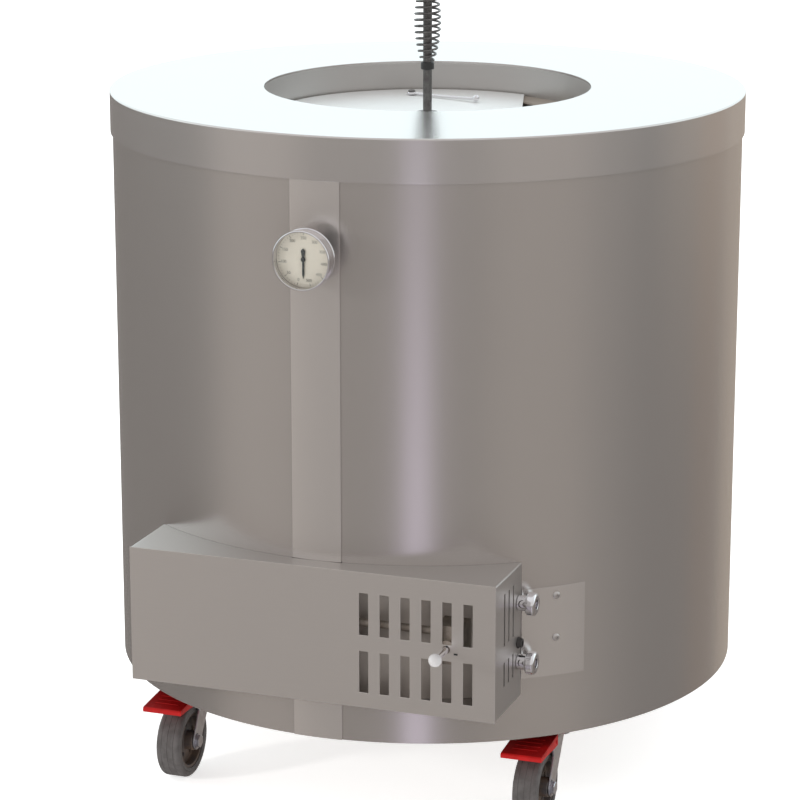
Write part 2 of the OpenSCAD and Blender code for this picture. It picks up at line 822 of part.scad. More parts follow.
module fork_fl() { fork(CORNERS[0]); }
module fork_fr() { fork(CORNERS[1]); }
module fork_rl() { fork(CORNERS[2]); }
module fork_rr() { fork(CORNERS[3]); }
module axle_fl() { axle(CORNERS[0]); }
module axle_fr() { axle(CORNERS[1]); }
module axle_rl() { axle(CORNERS[2]); }
module axle_rr() { axle(CORNERS[3]); }
module hub_fl() { hub(CORNERS[0]); }
module hub_fr() { hub(CORNERS[1]); }
module hub_rl() { hub(CORNERS[2]); }
module hub_rr() { hub(CORNERS[3]); }
module tyre_fl() { tyre(CORNERS[0]); }
module tyre_fr() { tyre(CORNERS[1]); }
module tyre_rl() { tyre(CORNERS[2]); }
module tyre_rr() { tyre(CORNERS[3]); }
module pedal_fl() { pedal(CORNERS[0]); }
module pedal_fr() { pedal(CORNERS[1]); }
module pedal_rl() { pedal(CORNERS[2]); }
module pedal_rr() { pedal(CORNERS[3]); }

base_plate();
outer_shell();
seam_strap();
top_cap();
mouth_collar();
clay_pot();
insulation();
hearth_slab();
burner_tunnel();
burner_pipe();
burner_ring();
flame_deflector();
flame_probe();
injector_tube();
gas_tube();
gas_valve();
gas_inlet();
box_body();
box_front();
side_plate();
plate_screws();
side_grommet();
box_knob_lower();
box_knob_upper();
knob_stem();
knob_ball();
thermo_case();
thermo_bezel();
thermo_dial();
thermo_glass();
thermo_stem();
thermo_pointer();
lid_plate();
lid_rod();
grip_coil();
grip_collar();
lid_fasteners();
lid_hook();
castor_plates();
castor_bolts();
fork_fl();
fork_fr();
fork_rl();
fork_rr();
axle_fl();
axle_fr();
axle_rl();
axle_rr();
hub_fl();
hub_fr();
hub_rl();
hub_rr();
tyre_fl();
tyre_fr();
tyre_rl();
tyre_rr();
pedal_fl();
pedal_fr();
pedal_rl();
pedal_rr();
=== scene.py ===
"""Round gas-fired clay oven on castors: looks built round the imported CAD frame. Metres, +Z up, front -Y."""

import json
import math

import bmesh
import bpy
from mathutils import Matrix, Vector


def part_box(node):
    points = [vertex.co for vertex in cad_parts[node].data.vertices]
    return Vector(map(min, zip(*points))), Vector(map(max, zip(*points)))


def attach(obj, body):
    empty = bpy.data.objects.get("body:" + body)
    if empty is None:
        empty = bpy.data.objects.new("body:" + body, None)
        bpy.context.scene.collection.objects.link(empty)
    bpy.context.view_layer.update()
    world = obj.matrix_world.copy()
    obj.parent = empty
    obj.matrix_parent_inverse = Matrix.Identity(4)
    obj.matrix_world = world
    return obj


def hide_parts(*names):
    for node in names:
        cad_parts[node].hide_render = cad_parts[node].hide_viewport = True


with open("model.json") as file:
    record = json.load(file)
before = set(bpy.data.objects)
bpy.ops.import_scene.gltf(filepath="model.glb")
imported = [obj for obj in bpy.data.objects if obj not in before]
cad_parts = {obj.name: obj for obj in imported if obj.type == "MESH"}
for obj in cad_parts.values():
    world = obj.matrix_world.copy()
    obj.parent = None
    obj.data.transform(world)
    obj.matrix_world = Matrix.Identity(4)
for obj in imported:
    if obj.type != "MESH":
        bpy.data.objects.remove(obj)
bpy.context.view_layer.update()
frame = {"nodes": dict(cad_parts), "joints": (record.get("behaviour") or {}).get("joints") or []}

# ---------- places read from the frame ----------

BOX = {name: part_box(name) for name in frame["nodes"]}
PIVOTS = {joint["name"]: Vector(joint["pos_m"]) for joint in frame["joints"] if "pos_m" in joint}
CORNERS = ("fl", "fr", "rl", "rr")


def centre(node):
    low, high = BOX[node]
    return (low + high) / 2


def half_width(node):
    low, high = BOX[node]
    return (high.x - low.x) / 2


AXIS_Y = centre("top_cap").y
AXIS = Vector((0, AXIS_Y, 0))
CAP_R = half_width("top_cap")
CAP_TOP = BOX["top_cap"][1].z
SKIRT_LOW = BOX["top_cap"][0].z
SHELL_R = half_width("outer_shell")
SHELL_LOW, SHELL_TOP = BOX["outer_shell"][0].z, BOX["outer_shell"][1].z
SHELL_T = 0.0015
COLLAR_R = half_width("mouth_collar")
COLLAR_T = 0.002
MOUTH_R = COLLAR_R - COLLAR_T
STRAP_FACE = AXIS_Y - BOX["seam_strap"][0].y
STRAP_HALF = BOX["seam_strap"][1].x
BOX_LOW, BOX_HIGH = BOX["box_front"]
FRONT_FACE = BOX_LOW.y
FRONT_BACK = BOX_HIGH.y
LID_LOW, LID_TOP = BOX["lid_plate"][0].z, BOX["lid_plate"][1].z
LID_R = (BOX["lid_plate"][1].y - BOX["lid_plate"][0].y) / 2
THERMO = Vector((0, AXIS_Y, centre("thermo_bezel").z))
KNOB = Vector((centre("knob_ball").x, AXIS_Y, centre("knob_ball").z))

# ---------- materials ----------

MATERIALS = {}


def node_tree(name):
    material = bpy.data.materials.new(name)
    material.use_nodes = True
    tree = material.node_tree
    shader = tree.nodes["Principled BSDF"]
    MATERIALS[name] = material
    return tree, shader


def feed(tree, node, **inputs):
    """Sets inputs to constants or links them to sockets; an underscore in a name stands for a space."""
    for name, value in inputs.items():
        socket = node.inputs[name.replace("_", " ")]
        if isinstance(value, bpy.types.NodeSocket):
            tree.links.new(value, socket)
        else:
            socket.default_value = value
    return node


def helper_node(tree, kind, **inputs):
    return feed(tree, tree.nodes.new("ShaderNode" + kind), **inputs)


def own_place(tree):
    """The place in the piece's own coordinates."""
    return helper_node(tree, "TexCoord").outputs["Object"]


def pattern(tree, scale, stretch=(1, 1, 1), detail=4.0, rough=0.6):
    """Noise in the piece's own coordinates, stretched per axis."""
    place = helper_node(tree, "Mapping", Vector=own_place(tree), Scale=stretch).outputs["Vector"]
    noise = helper_node(tree, "TexNoise", Vector=place, Scale=scale, Detail=detail, Roughness=rough)
    return noise.outputs["Fac"]


def remap(tree, value, low, high, start=0.3, end=0.7):
    """Values from start to end become low to high, with an eased change between."""
    node = helper_node(tree, "MapRange", Value=value, From_Min=start, From_Max=end, To_Min=low, To_Max=high)
    node.interpolation_type = "SMOOTHSTEP"
    return node.outputs["Result"]


def blend_colours(tree, factor, first, second):
    """Mixes two colours, each a tuple or an output socket."""
    node = helper_node(tree, "Mix")
    node.data_type = "RGBA"
    first, second = ((*colour, 1) if isinstance(colour, tuple) else colour for colour in (first, second))
    return feed(tree, node, Factor=factor, A=first, B=second).outputs["Result"]


def bump(tree, shader, height, distance):
    node = helper_node(tree, "Bump", Strength=1, Distance=distance, Height=height)
    feed(tree, shader, Normal=node.outputs["Normal"])


def steel(name, colour, rough, grain=(1, 1, 0.02), metallic=0.86):
    """Satin stainless sheet: fine stretched grain, slow cloudy variation, a little roughness play."""
    streak, cloud, relief = 0.008, 0.012, 2e-7
    tree, shader = node_tree(name)
    fine = pattern(tree, 900, grain, detail=3)
    slow = pattern(tree, 3.5, (1, 1, 0.6), detail=2, rough=0.5)
    dark = tuple(c * (1 - streak) for c in colour)
    light = tuple(min(1, c * (1 + streak)) for c in colour)
    grained = blend_colours(tree, remap(tree, fine, 0, 1), dark, light)
    clouded = blend_colours(tree, remap(tree, slow, 0, cloud), grained, (1.0, 0.93, 0.82))
    satin = remap(tree, fine, rough * 0.95, rough * 1.05)
    feed(tree, shader, Base_Color=clouded, Metallic=metallic, Roughness=satin)
    bump(tree, shader, fine, relief)


def metal(name, colour, rough, spots, scale=60, relief=1e-5):
    """Plain metal with an irregular tarnish."""
    tree, shader = node_tree(name)
    blot = pattern(tree, scale, detail=5)
    tint = blend_colours(tree, remap(tree, blot, 0, 1), colour, spots)
    feed(tree, shader, Base_Color=tint, Metallic=1, Roughness=remap(tree, blot, rough, rough * 1.5))
    bump(tree, shader, blot, relief)


def solid(name, colour, rough, second=None, scale=80, relief=2e-5, coat=0.0, level=0.5):
    """Non-metal: moulded plastic, rubber, clay, brick, paint."""
    tree, shader = node_tree(name)
    grain = pattern(tree, scale, detail=6)
    tint = blend_colours(tree, remap(tree, grain, 0, 1), colour, second or tuple(c * 0.85 for c in colour))
    feed(tree, shader, Base_Color=tint, Specular_IOR_Level=level, Coat_Weight=coat, Coat_Roughness=0.08)
    feed(tree, shader, Roughness=remap(tree, grain, rough * 0.9, min(1, rough * 1.1)))
    bump(tree, shader, grain, relief)


def fired_clay():
    """Terracotta with throwing rings, pale patches and a paler grey towards the mouth."""
    tree, shader = node_tree("clay")
    coarse = pattern(tree, 9, detail=6)
    fine = pattern(tree, 260, detail=4)
    rings = pattern(tree, 40, (0.05, 0.05, 1), detail=2)
    body = blend_colours(tree, remap(tree, coarse, 0, 1), (0.40, 0.24, 0.15), (0.52, 0.36, 0.25))
    speckled = blend_colours(tree, remap(tree, fine, 0, 0.5, 0.5, 0.75), body, (0.23, 0.13, 0.085))
    height = helper_node(tree, "SeparateXYZ", Vector=own_place(tree)).outputs["Z"]
    # The clay's colour turns paler grey towards the top of the jar.
    paler_towards_mouth = remap(tree, height, 0, 0.85, 0.62, 0.87)
    feed(tree, shader, Base_Color=blend_colours(tree, paler_towards_mouth, speckled, (0.34, 0.31, 0.275)), Roughness=0.92)
    total = helper_node(tree, "Math")
    total.operation = "MULTIPLY_ADD"
    total.inputs[1].default_value = 0.25
    tree.links.new(fine, total.inputs[0])
    tree.links.new(rings, total.inputs[2])
    bump(tree, shader, total.outputs["Value"], 0.0015)


def clear_glass():
    """Thin glass with faint smears."""
    tree, shader = node_tree("glass")
    smear = remap(tree, pattern(tree, 45, detail=2), 0.0, 0.03)
    feed(tree, shader, Roughness=smear, Base_Color=(0.96, 0.98, 0.97, 1), Transmission_Weight=1, IOR=1.12)


def zinc_plate():
    """Bright zinc with a faint crystalline spangle."""
    tree, shader = node_tree("zinc")
    cells = helper_node(tree, "TexVoronoi", Vector=own_place(tree), Scale=160)
    tone = helper_node(tree, "SeparateColor", Color=cells.outputs["Color"])
    tint = blend_colours(tree, tone.outputs["Red"], (0.50, 0.50, 0.54), (0.62, 0.62, 0.66))
    rough = remap(tree, tone.outputs["Green"], 0.30, 0.42, 0, 1)
    feed(tree, shader, Base_Color=tint, Metallic=1, Roughness=rough)
    bump(tree, shader, pattern(tree, 300, detail=3), 1e-5)


steel("drum_steel", (0.53, 0.495, 0.475), 0.23)
steel("satin_steel", (0.68, 0.64, 0.615), 0.25)
steel("plate_steel", (0.62, 0.585, 0.565), 0.25)
steel("box_steel", (0.62, 0.58, 0.555), 0.30, grain=(0.02, 1, 1))
steel("body_steel", (0.50, 0.472, 0.458), 0.30)
steel("cap_steel", (0.60, 0.57, 0.555), 0.20)
steel("lid_steel", (0.90, 0.90, 0.89), 0.40, grain=(0.02, 1, 1), metallic=0.5)
steel("collar_steel", (0.50, 0.48, 0.465), 0.42)
solid("heat_dulled", (0.60, 0.53, 0.48), 0.75, (0.54, 0.475, 0.43), scale=30)
metal("dull_bronze", (0.50, 0.44, 0.385), 0.60, (0.44, 0.385, 0.335))
metal("inner_steel", (0.36, 0.34, 0.33), 0.42, (0.26, 0.22, 0.20))
metal("dark_steel", (0.20, 0.195, 0.19), 0.32, (0.13, 0.12, 0.12), scale=120)
metal("chrome", (0.80, 0.79, 0.81), 0.06, (0.76, 0.75, 0.77), scale=20, relief=1e-6)
metal("brass", (0.70, 0.52, 0.24), 0.28, (0.55, 0.38, 0.17))
metal("burner_iron", (0.10, 0.095, 0.09), 0.62, (0.16, 0.10, 0.07), scale=150, relief=1.5e-4)
solid("insulation", (0.80, 0.78, 0.72), 0.95, scale=120, relief=8e-4)
solid("firebrick", (0.62, 0.50, 0.36), 0.95, (0.45, 0.33, 0.22), scale=90, relief=4e-4)
solid("print_ink", (0.16, 0.14, 0.12), 0.6)
solid("white_ceramic", (0.85, 0.83, 0.77), 0.3)
solid("black_plastic", (0.025, 0.025, 0.025), 0.42)
solid("black_rubber", (0.035, 0.03, 0.028), 0.7)
solid("white_knob", (0.55, 0.53, 0.53), 0.26, (0.52, 0.50, 0.50), scale=30, relief=2e-6, coat=0.3)
solid("dial", (0.64, 0.565, 0.49), 0.45, (0.61, 0.54, 0.465), scale=60, relief=4e-6)
solid("wheel_centre", (0.045, 0.045, 0.052), 0.45, (0.11, 0.072, 0.05), scale=38, relief=3e-5)
solid("grey_tyre", (0.115, 0.106, 0.104), 0.62, (0.08, 0.072, 0.07), scale=70, relief=6e-5, level=0.3)
solid("red_pedal", (0.46, 0.008, 0.008), 0.42, (0.34, 0.005, 0.005), scale=45, relief=1e-5, level=0.2)
# A darker copy of the pedal red: painted shade for the pedal's upward tread faces under the drum's overhang.
solid("red_pedal_top_painted_shade", (0.29, 0.003, 0.003), 0.6, (0.22, 0.002, 0.002), scale=45, relief=1e-5, level=0.1)
fired_clay()
clear_glass()
zinc_plate()

# ---------- mesh tools ----------


def finish_piece(obj, material, body, node=None, sharp=35):
    """Gives a piece its material and body and hides the node that it stands in for; large faces stay flat."""
    obj.data.materials.clear()
    obj.data.materials.append(MATERIALS[material])
    obj.data.shade_smooth()
    obj.data.set_sharp_from_angle(angle=math.radians(sharp))
    modifier = obj.modifiers.new("normals", "WEIGHTED_NORMAL")
    modifier.keep_sharp = True
    bake_modifiers(obj)
    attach(obj, body)
    if node:
        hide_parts(node)
    return obj


def placed(name, mesh):
    """A new object in the scene."""
    obj = bpy.data.objects.new(name, mesh)
    bpy.context.scene.collection.objects.link(obj)
    return obj


def mesh_object(name, vertices, faces):
    mesh = bpy.data.meshes.new(name)
    mesh.from_pydata([tuple(v) for v in vertices], [], faces)
    work = bmesh.new()
    work.from_mesh(mesh)
    bmesh.ops.remove_doubles(work, verts=work.verts, dist=1e-7)
    bmesh.ops.recalc_face_normals(work, faces=work.faces)
    work.to_mesh(mesh)
    work.free()
    return placed(name, mesh)


def lathe(name, outline, place=AXIS, axis=(0, 0, 1), steps=96):
    """Turns a closed outline of (radius, height) points about an axis through place."""
    turn = Vector((0, 0, 1)).rotation_difference(Vector(axis)).to_matrix()
    vertices, count = [], len(outline)
    for i in range(steps):
        a = 2 * math.pi * i / steps
        for r, h in outline:
            vertices.append(turn @ Vector((r * math.cos(a), r * math.sin(a), h)) + place)
    faces = []
    for i in range(steps):
        for k in range(count):
            near, far = i * count, (i + 1) % steps * count
            after = (k + 1) % count
            if outline[k][0] < 1e-9 and outline[after][0] < 1e-9:
                continue
            faces.append([near + k, far + k, far + after, near + after])
    return mesh_object(name, vertices, faces)


def arc(centre_at, r, start, end, steps=6):
    """Points along an arc, in degrees."""
    turns = [math.radians(start + (end - start) * i / steps) for i in range(steps + 1)]
    return [(centre_at[0] + r * math.cos(a), centre_at[1] + r * math.sin(a)) for a in turns]


def prism(name, outline, to_world, depth):
    """A flat outline pushed out by depth; to_world places (u, v, w) in the frame."""
    count = len(outline)
    vertices = [to_world(u, v, w) for w in (0, depth) for u, v in outline]
    faces = [list(range(count))[::-1], list(range(count, 2 * count))]
    faces += [[k, (k + 1) % count, (k + 1) % count + count, k + count] for k in range(count)]
    return mesh_object(name, vertices, faces)


def block(name, low, high):
    """An upright box between two corners."""
    outline = [(low[0], low[1]), (high[0], low[1]), (high[0], high[1]), (low[0], high[1])]
    return prism(name, outline, lambda u, v, w: Vector((u, v, low[2] + w)), high[2] - low[2])


def rod(name, start, end, r, steps=48, edge=0.0006):
    """A round bar with bevelled ends between two points."""
    start, end = Vector(start), Vector(end)
    length = (end - start).length
    outline = [(0, 0), (r - edge, 0), (r, edge), (r, length - edge), (r - edge, length), (0, length)]
    return lathe(name, outline, start, (end - start).normalized(), steps)


def soften(obj, width):
    """Rounds the piece's sharp edges, as a real edge is."""
    modifier = obj.modifiers.new("edges", "BEVEL")
    modifier.width = width
    modifier.segments = 2
    modifier.limit_method = "ANGLE"
    modifier.angle_limit = math.radians(40)
    return bake_modifiers(obj)


def bake_modifiers(obj):
    graph = bpy.context.evaluated_depsgraph_get()
    mesh = bpy.data.meshes.new_from_object(obj.evaluated_get(graph))
    obj.modifiers.clear()
    obj.data = mesh
    return obj


def cut(obj, *tools):
    """Takes the tools' shapes away from the piece, and removes the tools."""
    for tool in tools:
        modifier = obj.modifiers.new("cut", "BOOLEAN")
        modifier.operation = "DIFFERENCE"
        modifier.solver = "EXACT"
        modifier.object = tool
    bake_modifiers(obj)
    for tool in tools:
        bpy.data.objects.remove(tool)
    return obj


def join(name, *parts):
    """One piece from several meshes, in the frame's coordinates."""
    work = bmesh.new()
    for part in parts:
        part.data.transform(part.matrix_world)
        work.from_mesh(part.data)
        bpy.data.objects.remove(part)
    mesh = bpy.data.meshes.new(name)
    work.to_mesh(mesh)
    work.free()
    return placed(name, mesh)


def sweep(name, points, r, sides=12, closed=False):
    """A round wire along points, with hemispherical ends when open."""
    points = [Vector(p) for p in points]
    count = len(points)
    rings, radii = [], []
    normal = None
    for i, p in enumerate(points):
        before = points[i - 1 if closed or i else 0]
        after = points[(i + 1) % count if closed or i + 1 < count else i]
        along = (after - before).normalized()
        if normal is None:
            normal = along.orthogonal().normalized()
        normal = (normal - along * normal.dot(along)).normalized()
        rings.append((p, along, normal.copy()))
        radii.append(r)
    if not closed:
        for end, sign in ((0, -1), (-1, 1)):
            p, along, across = rings[end]
            for step in (1, 2, 3):
                a = math.radians(28 * step)
                cap = (p + along * sign * r * math.sin(a), along, across)
                position = 0 if end == 0 else len(rings)
                rings.insert(position, cap)
                radii.insert(position, r * math.cos(a))
    vertices = []
    for (p, along, across), width in zip(rings, radii):
        side = along.cross(across)
        for k in range(sides):
            a = 2 * math.pi * k / sides
            vertices.append(p + (across * math.cos(a) + side * math.sin(a)) * width)
    total = len(rings)
    faces = []
    for i in range(total if closed else total - 1):
        for k in range(sides):
            near, far, after = i * sides, (i + 1) % total * sides, (k + 1) % sides
            faces.append([near + k, near + after, far + after, far + k])
    if not closed:
        faces.append(list(range(sides))[::-1])
        faces.append([(total - 1) * sides + k for k in range(sides)])
    return mesh_object(name, vertices, faces)


def curved_sheet(name, inner, outer, start, end, low, high, steps=24, edge=0.0004):
    """A sheet bent round the drum, between two angles from the front towards +X, in degrees."""
    vertices = []
    for i in range(steps + 1):
        a = math.radians(start + (end - start) * i / steps)
        for r, z in ((inner, low), (outer, low), (outer, high), (inner, high)):
            vertices.append(AXIS + Vector((r * math.sin(a), -r * math.cos(a), z)))
    faces = [[0, 1, 2, 3], [steps * 4 + k for k in (3, 2, 1, 0)]]
    for i in range(steps):
        for k in range(4):
            after = (k + 1) % 4
            faces.append([i * 4 + k, i * 4 + after, i * 4 + 4 + after, i * 4 + 4 + k])
    return soften(mesh_object(name, vertices, faces), edge)


def pierced_plate(name, us, vs, holes, to_world, depth):
    """A rectangular plate with rectangular holes; us and vs are its limits, a hole is (u0, u1, v0, v1)."""
    u_lines = sorted({*us, *(u for hole in holes for u in hole[:2])})
    v_lines = sorted({*vs, *(v for hole in holes for v in hole[2:])})

    def is_solid(i, j):
        if not (0 <= i < len(u_lines) - 1 and 0 <= j < len(v_lines) - 1):
            return False
        u, v = (u_lines[i] + u_lines[i + 1]) / 2, (v_lines[j] + v_lines[j + 1]) / 2
        return not any(h[0] < u < h[1] and h[2] < v < h[3] for h in holes)

    rows = len(v_lines)
    layer = len(u_lines) * rows
    vertices = [to_world(u, v, w) for w in (0, depth) for u in u_lines for v in v_lines]
    faces = []
    for i in range(len(u_lines) - 1):
        for j in range(rows - 1):
            if not is_solid(i, j):
                continue
            a, b, c, d = i * rows + j, (i + 1) * rows + j, (i + 1) * rows + j + 1, i * rows + j + 1
            faces += [[a, b, c, d], [layer + d, layer + c, layer + b, layer + a]]
            sides = (((a, b), (i, j - 1)), ((b, c), (i + 1, j)), ((c, d), (i, j + 1)), ((d, a), (i - 1, j)))
            for (p, q), beside in sides:
                if not is_solid(*beside):
                    faces.append([q, p, layer + p, layer + q])
    return mesh_object(name, vertices, faces)


# ---------- drum ----------


def top_cap():
    """The pan's section: from the mouth's lip over the flat top and down to the skirt's rolled edge."""
    sheet, fold, lip, depth = 0.002, 0.0022, 0.0007, 0.003
    outline = [(MOUTH_R, CAP_TOP - depth)]
    outline += arc((MOUTH_R + lip, CAP_TOP - lip), lip, 180, 90, 4)
    outline += arc((CAP_R - fold, CAP_TOP - fold), fold, 90, 0, 6)
    outline += arc((CAP_R - sheet / 2, SKIRT_LOW + sheet / 2), sheet / 2, 0, -180, 6)
    return outline + [(CAP_R - sheet, CAP_TOP - depth)]


def shell_outline():
    """The drum wrap's section, with a ring of edges just inside the box's top and bottom."""
    bend, margin = SHELL_T / 2, 0.002
    outline = [(SHELL_R - SHELL_T, SHELL_TOP), (SHELL_R, SHELL_TOP)]
    outline += [(SHELL_R, BOX_HIGH.z - margin), (SHELL_R, BOX_LOW.z + margin)]
    return outline + arc((SHELL_R - bend, SHELL_LOW + bend), bend, 0, -180, 5)


def bores(start, tunnel_end, probe_end):
    """Cutting rods along Y for the burner tunnel and the thermometer's stem."""
    tunnel_z = centre("burner_tunnel").z
    return (
        rod("tunnel_cut", (0, start, tunnel_z), (0, tunnel_end, tunnel_z), 0.0283),
        rod("probe_cut", (0, start, THERMO.z), (0, probe_end, THERMO.z), 0.0083),
    )


def behind_box(at):
    """Whether a point is on the drum's outer face inside the burner box."""
    outside = (at - AXIS).xy.length > SHELL_R - 0.001
    in_front = at.y < AXIS_Y - 0.2
    return outside and in_front and BOX_LOW.z < at.z < BOX_HIGH.z and abs(at.x) < BOX_HIGH.x - 0.008


finish_piece(lathe("cap_pan", top_cap(), steps=288), "cap_steel", "oven", "top_cap")

drum = lathe("drum_wrap", shell_outline(), steps=288)
drum = cut(drum, *bores(FRONT_FACE, AXIS_Y - 0.39, AXIS_Y - 0.39))
finish_piece(drum, "drum_steel", "oven", "outer_shell")
drum.data.materials.append(MATERIALS["heat_dulled"])
for face in drum.data.polygons:
    if behind_box(face.center):
        face.material_index = 1

collar_low, collar_top = BOX["mouth_collar"][0].z, BOX["mouth_collar"][1].z
collar = [(MOUTH_R, collar_top), (MOUTH_R, collar_low + 0.001)]
collar += arc((MOUTH_R + COLLAR_T / 2, collar_low + COLLAR_T / 2), COLLAR_T / 2, 180, 360, 6)
collar += [(COLLAR_R, collar_top)]
finish_piece(lathe("mouth_ring", collar, steps=256), "collar_steel", "oven", "mouth_collar")

AIR_GAP = 0.0002
strap_angle = math.degrees(math.asin(STRAP_HALF / SHELL_R))
strap_top = BOX["seam_strap"][1].z
strap = curved_sheet(
    "seam_cover", SHELL_R + AIR_GAP, STRAP_FACE, -strap_angle, strap_angle, SHELL_LOW, strap_top, 20
)
strap = cut(strap, *bores(FRONT_FACE, AXIS_Y - 0.39, AXIS_Y - 0.39))
finish_piece(strap, "satin_steel", "oven", "seam_strap")


def front_angle(point):
    """Angle from the front towards +X, in degrees."""
    return math.degrees(math.atan2(point.x, AXIS_Y - point.y))


PLATE_FACE = SHELL_R + 0.0015
plate_low, plate_high = BOX["side_plate"]
plate_angles = (front_angle(plate_low), front_angle(plate_high))
plate_zs = (plate_low.z, plate_high.z)
plate = curved_sheet("hose_plate", SHELL_R + AIR_GAP, PLATE_FACE, *plate_angles, *plate_zs, 14)
finish_piece(plate, "plate_steel", "oven", "side_plate")


def button_screw(name, place, axis, r=0.005, rise=0.0022):
    """A domed screw head with a hexagon socket."""
    dome = [(0, 0), (r, 0)] + arc((0, 0), r, 8, 82, 8)
    dome = [(x, y * rise / r) for x, y in dome] + [(0, rise)]
    key_r, floor, above = r * 0.42, rise * 0.35, rise * 2
    socket = lathe("socket", [(0, floor), (key_r, floor), (key_r, above), (0, above)], place, axis, 6)
    return cut(lathe(name, dome, place, axis, 32), socket)


screw_angle = math.radians(front_angle(centre("plate_screws")))
screw_out = Vector((math.sin(screw_angle), -math.cos(screw_angle), 0))
screw_zs = (BOX["plate_screws"][0].z + 0.005, BOX["plate_screws"][1].z - 0.005)
screw_foot = AXIS + screw_out * PLATE_FACE
screws = [button_screw("screw", screw_foot + Vector((0, 0, z)), screw_out) for z in screw_zs]
finish_piece(join("plate_button_screws", *screws), "body_steel", "oven", "plate_screws")

# ---------- clay jar ----------


def jar():
    """A jar in two parabolas that meet at the belly, as the CAD pot is."""
    low, high = BOX["clay_pot"][0].z, BOX["clay_pot"][1].z
    rim, belly, foot, wall, belly_at, rim_band = 0.178, 0.295, 0.250, 0.038, 0.35, 0.024
    height, steps = high - low, 56

    def radius(t):
        end, share = (rim, 1 - belly_at) if t > belly_at else (foot, belly_at)
        return belly - (belly - end) * ((t - belly_at) / share) ** 2

    inside = [(radius(i / steps), low + height * i / steps) for i in range(steps + 1)]
    inside[-1] = (rim + 0.003, high)
    inside.insert(-1, (rim + 0.0008, high - 0.0022))
    band = 1 - rim_band / height
    heights = [band * i / steps for i in range(steps, -1, -1)]
    outside = [(radius(t) + wall, low + height * t) for t in heights]
    rim_out = MOUTH_R - 0.0003
    return inside + [(rim_out, high), (rim_out, high - rim_band)] + outside


pot = lathe("clay_jar", jar(), steps=160)
pot = cut(pot, *bores(AXIS_Y - 0.40, AXIS_Y - 0.15, AXIS_Y - 0.05))
finish_piece(pot, "clay", "oven", "clay_pot")

# ---------- lid ----------

lid_cut_at, lid_cut_angle = 0.126, 16
chord = math.degrees(math.acos(lid_cut_at / LID_R))
rim_points = arc((0, 0), LID_R, lid_cut_angle + chord, lid_cut_angle + 360 - chord, 180)
lid = prism("lid_disc", rim_points, lambda u, v, w: AXIS + Vector((u, v, LID_LOW + w)), LID_TOP - LID_LOW)
finish_piece(soften(lid, 0.0006), "lid_steel", "lid", "lid_plate")

rod_top = BOX["lid_rod"][1].z
rod_r, washer_r, washer_t = 0.006, 0.014, 0.003
rod_outline = [(0, LID_LOW - 0.011), (rod_r - 0.001, LID_LOW - 0.011), (rod_r - 0.001, LID_TOP)]
rod_outline += arc((washer_r - 0.0006, LID_TOP + 0.0006), 0.0006, -90, 0, 3)
rod_outline += arc((washer_r - 0.0006, LID_TOP + washer_t - 0.0006), 0.0006, 0, 90, 3)
rod_outline += arc((rod_r + 0.0015, LID_TOP + washer_t + 0.0015), 0.0015, 270, 180, 4)
rod_outline += arc((rod_r - 0.001, rod_top - 0.001), 0.001, 0, 90, 4) + [(0, rod_top)]
finish_piece(lathe("lifting_rod", rod_outline, steps=48), "dark_steel", "lid", "lid_rod")

collar_box = BOX["grip_collar"]
collar_r, bore = collar_box[1].x, rod_r + 0.00005
stop = [(bore, collar_box[0].z)] + arc((collar_r - 0.0015, collar_box[0].z + 0.0015), 0.0015, -90, 0, 4)
stop += arc((collar_r - 0.0015, collar_box[1].z - 0.0015), 0.0015, 0, 90, 4) + [(bore, collar_box[1].z)]
finish_piece(lathe("grip_stop", stop, steps=48), "black_plastic", "lid", "grip_collar")


def coil_line(wire):
    """A spindle-shaped spring round the rod: narrow ends, full middle."""
    low, high = BOX["grip_coil"][0].z, BOX["grip_coil"][1].z
    pitch, full = 0.0083, half_width("grip_coil")
    narrow = rod_r + wire + 0.0004
    turns, steps_a_turn = (high - low - 2 * wire) / pitch, 28
    count = int(turns * steps_a_turn)
    points = []
    for i in range(count + 1):
        t = i / count
        r = narrow + (full - wire - narrow) * math.sin(math.pi * t) ** 0.8
        a = 2 * math.pi * turns * t
        z = low + wire + t * (high - low - 2 * wire)
        points.append(AXIS + Vector((r * math.cos(a), r * math.sin(a), z)))
    return points


COIL_WIRE_R = 0.0015
coil = sweep("spring_grip", coil_line(COIL_WIRE_R), COIL_WIRE_R, 10)
finish_piece(coil, "dark_steel", "lid", "grip_coil", sharp=60)

pivot = PIVOTS["vent_hook_turn"]
pivot_high = BOX["lid_fasteners"][1].z
pin = [(0, LID_LOW - 0.002), (0.003, LID_LOW - 0.002), (0.003, pivot_high - 0.002)]
pin += arc((0.0035, pivot_high - 0.0015), 0.0015, -20, 80, 5) + [(0, pivot_high)]
pin_piece = lathe("pin", pin, Vector((pivot.x, pivot.y, 0)), steps=32)
nut_outline = [(0.005, -0.009), (0.0095, -0.009), (0.0105, -0.0082)]
nut_outline += [(0.0105, -0.0004), (0.010, 0), (0.005, 0)]
nut = lathe("nut", nut_outline, AXIS + Vector((0, 0, LID_LOW)), steps=6)
finish_piece(join("lid_nut_and_pin", pin_piece, nut), "dark_steel", "lid", "lid_fasteners")

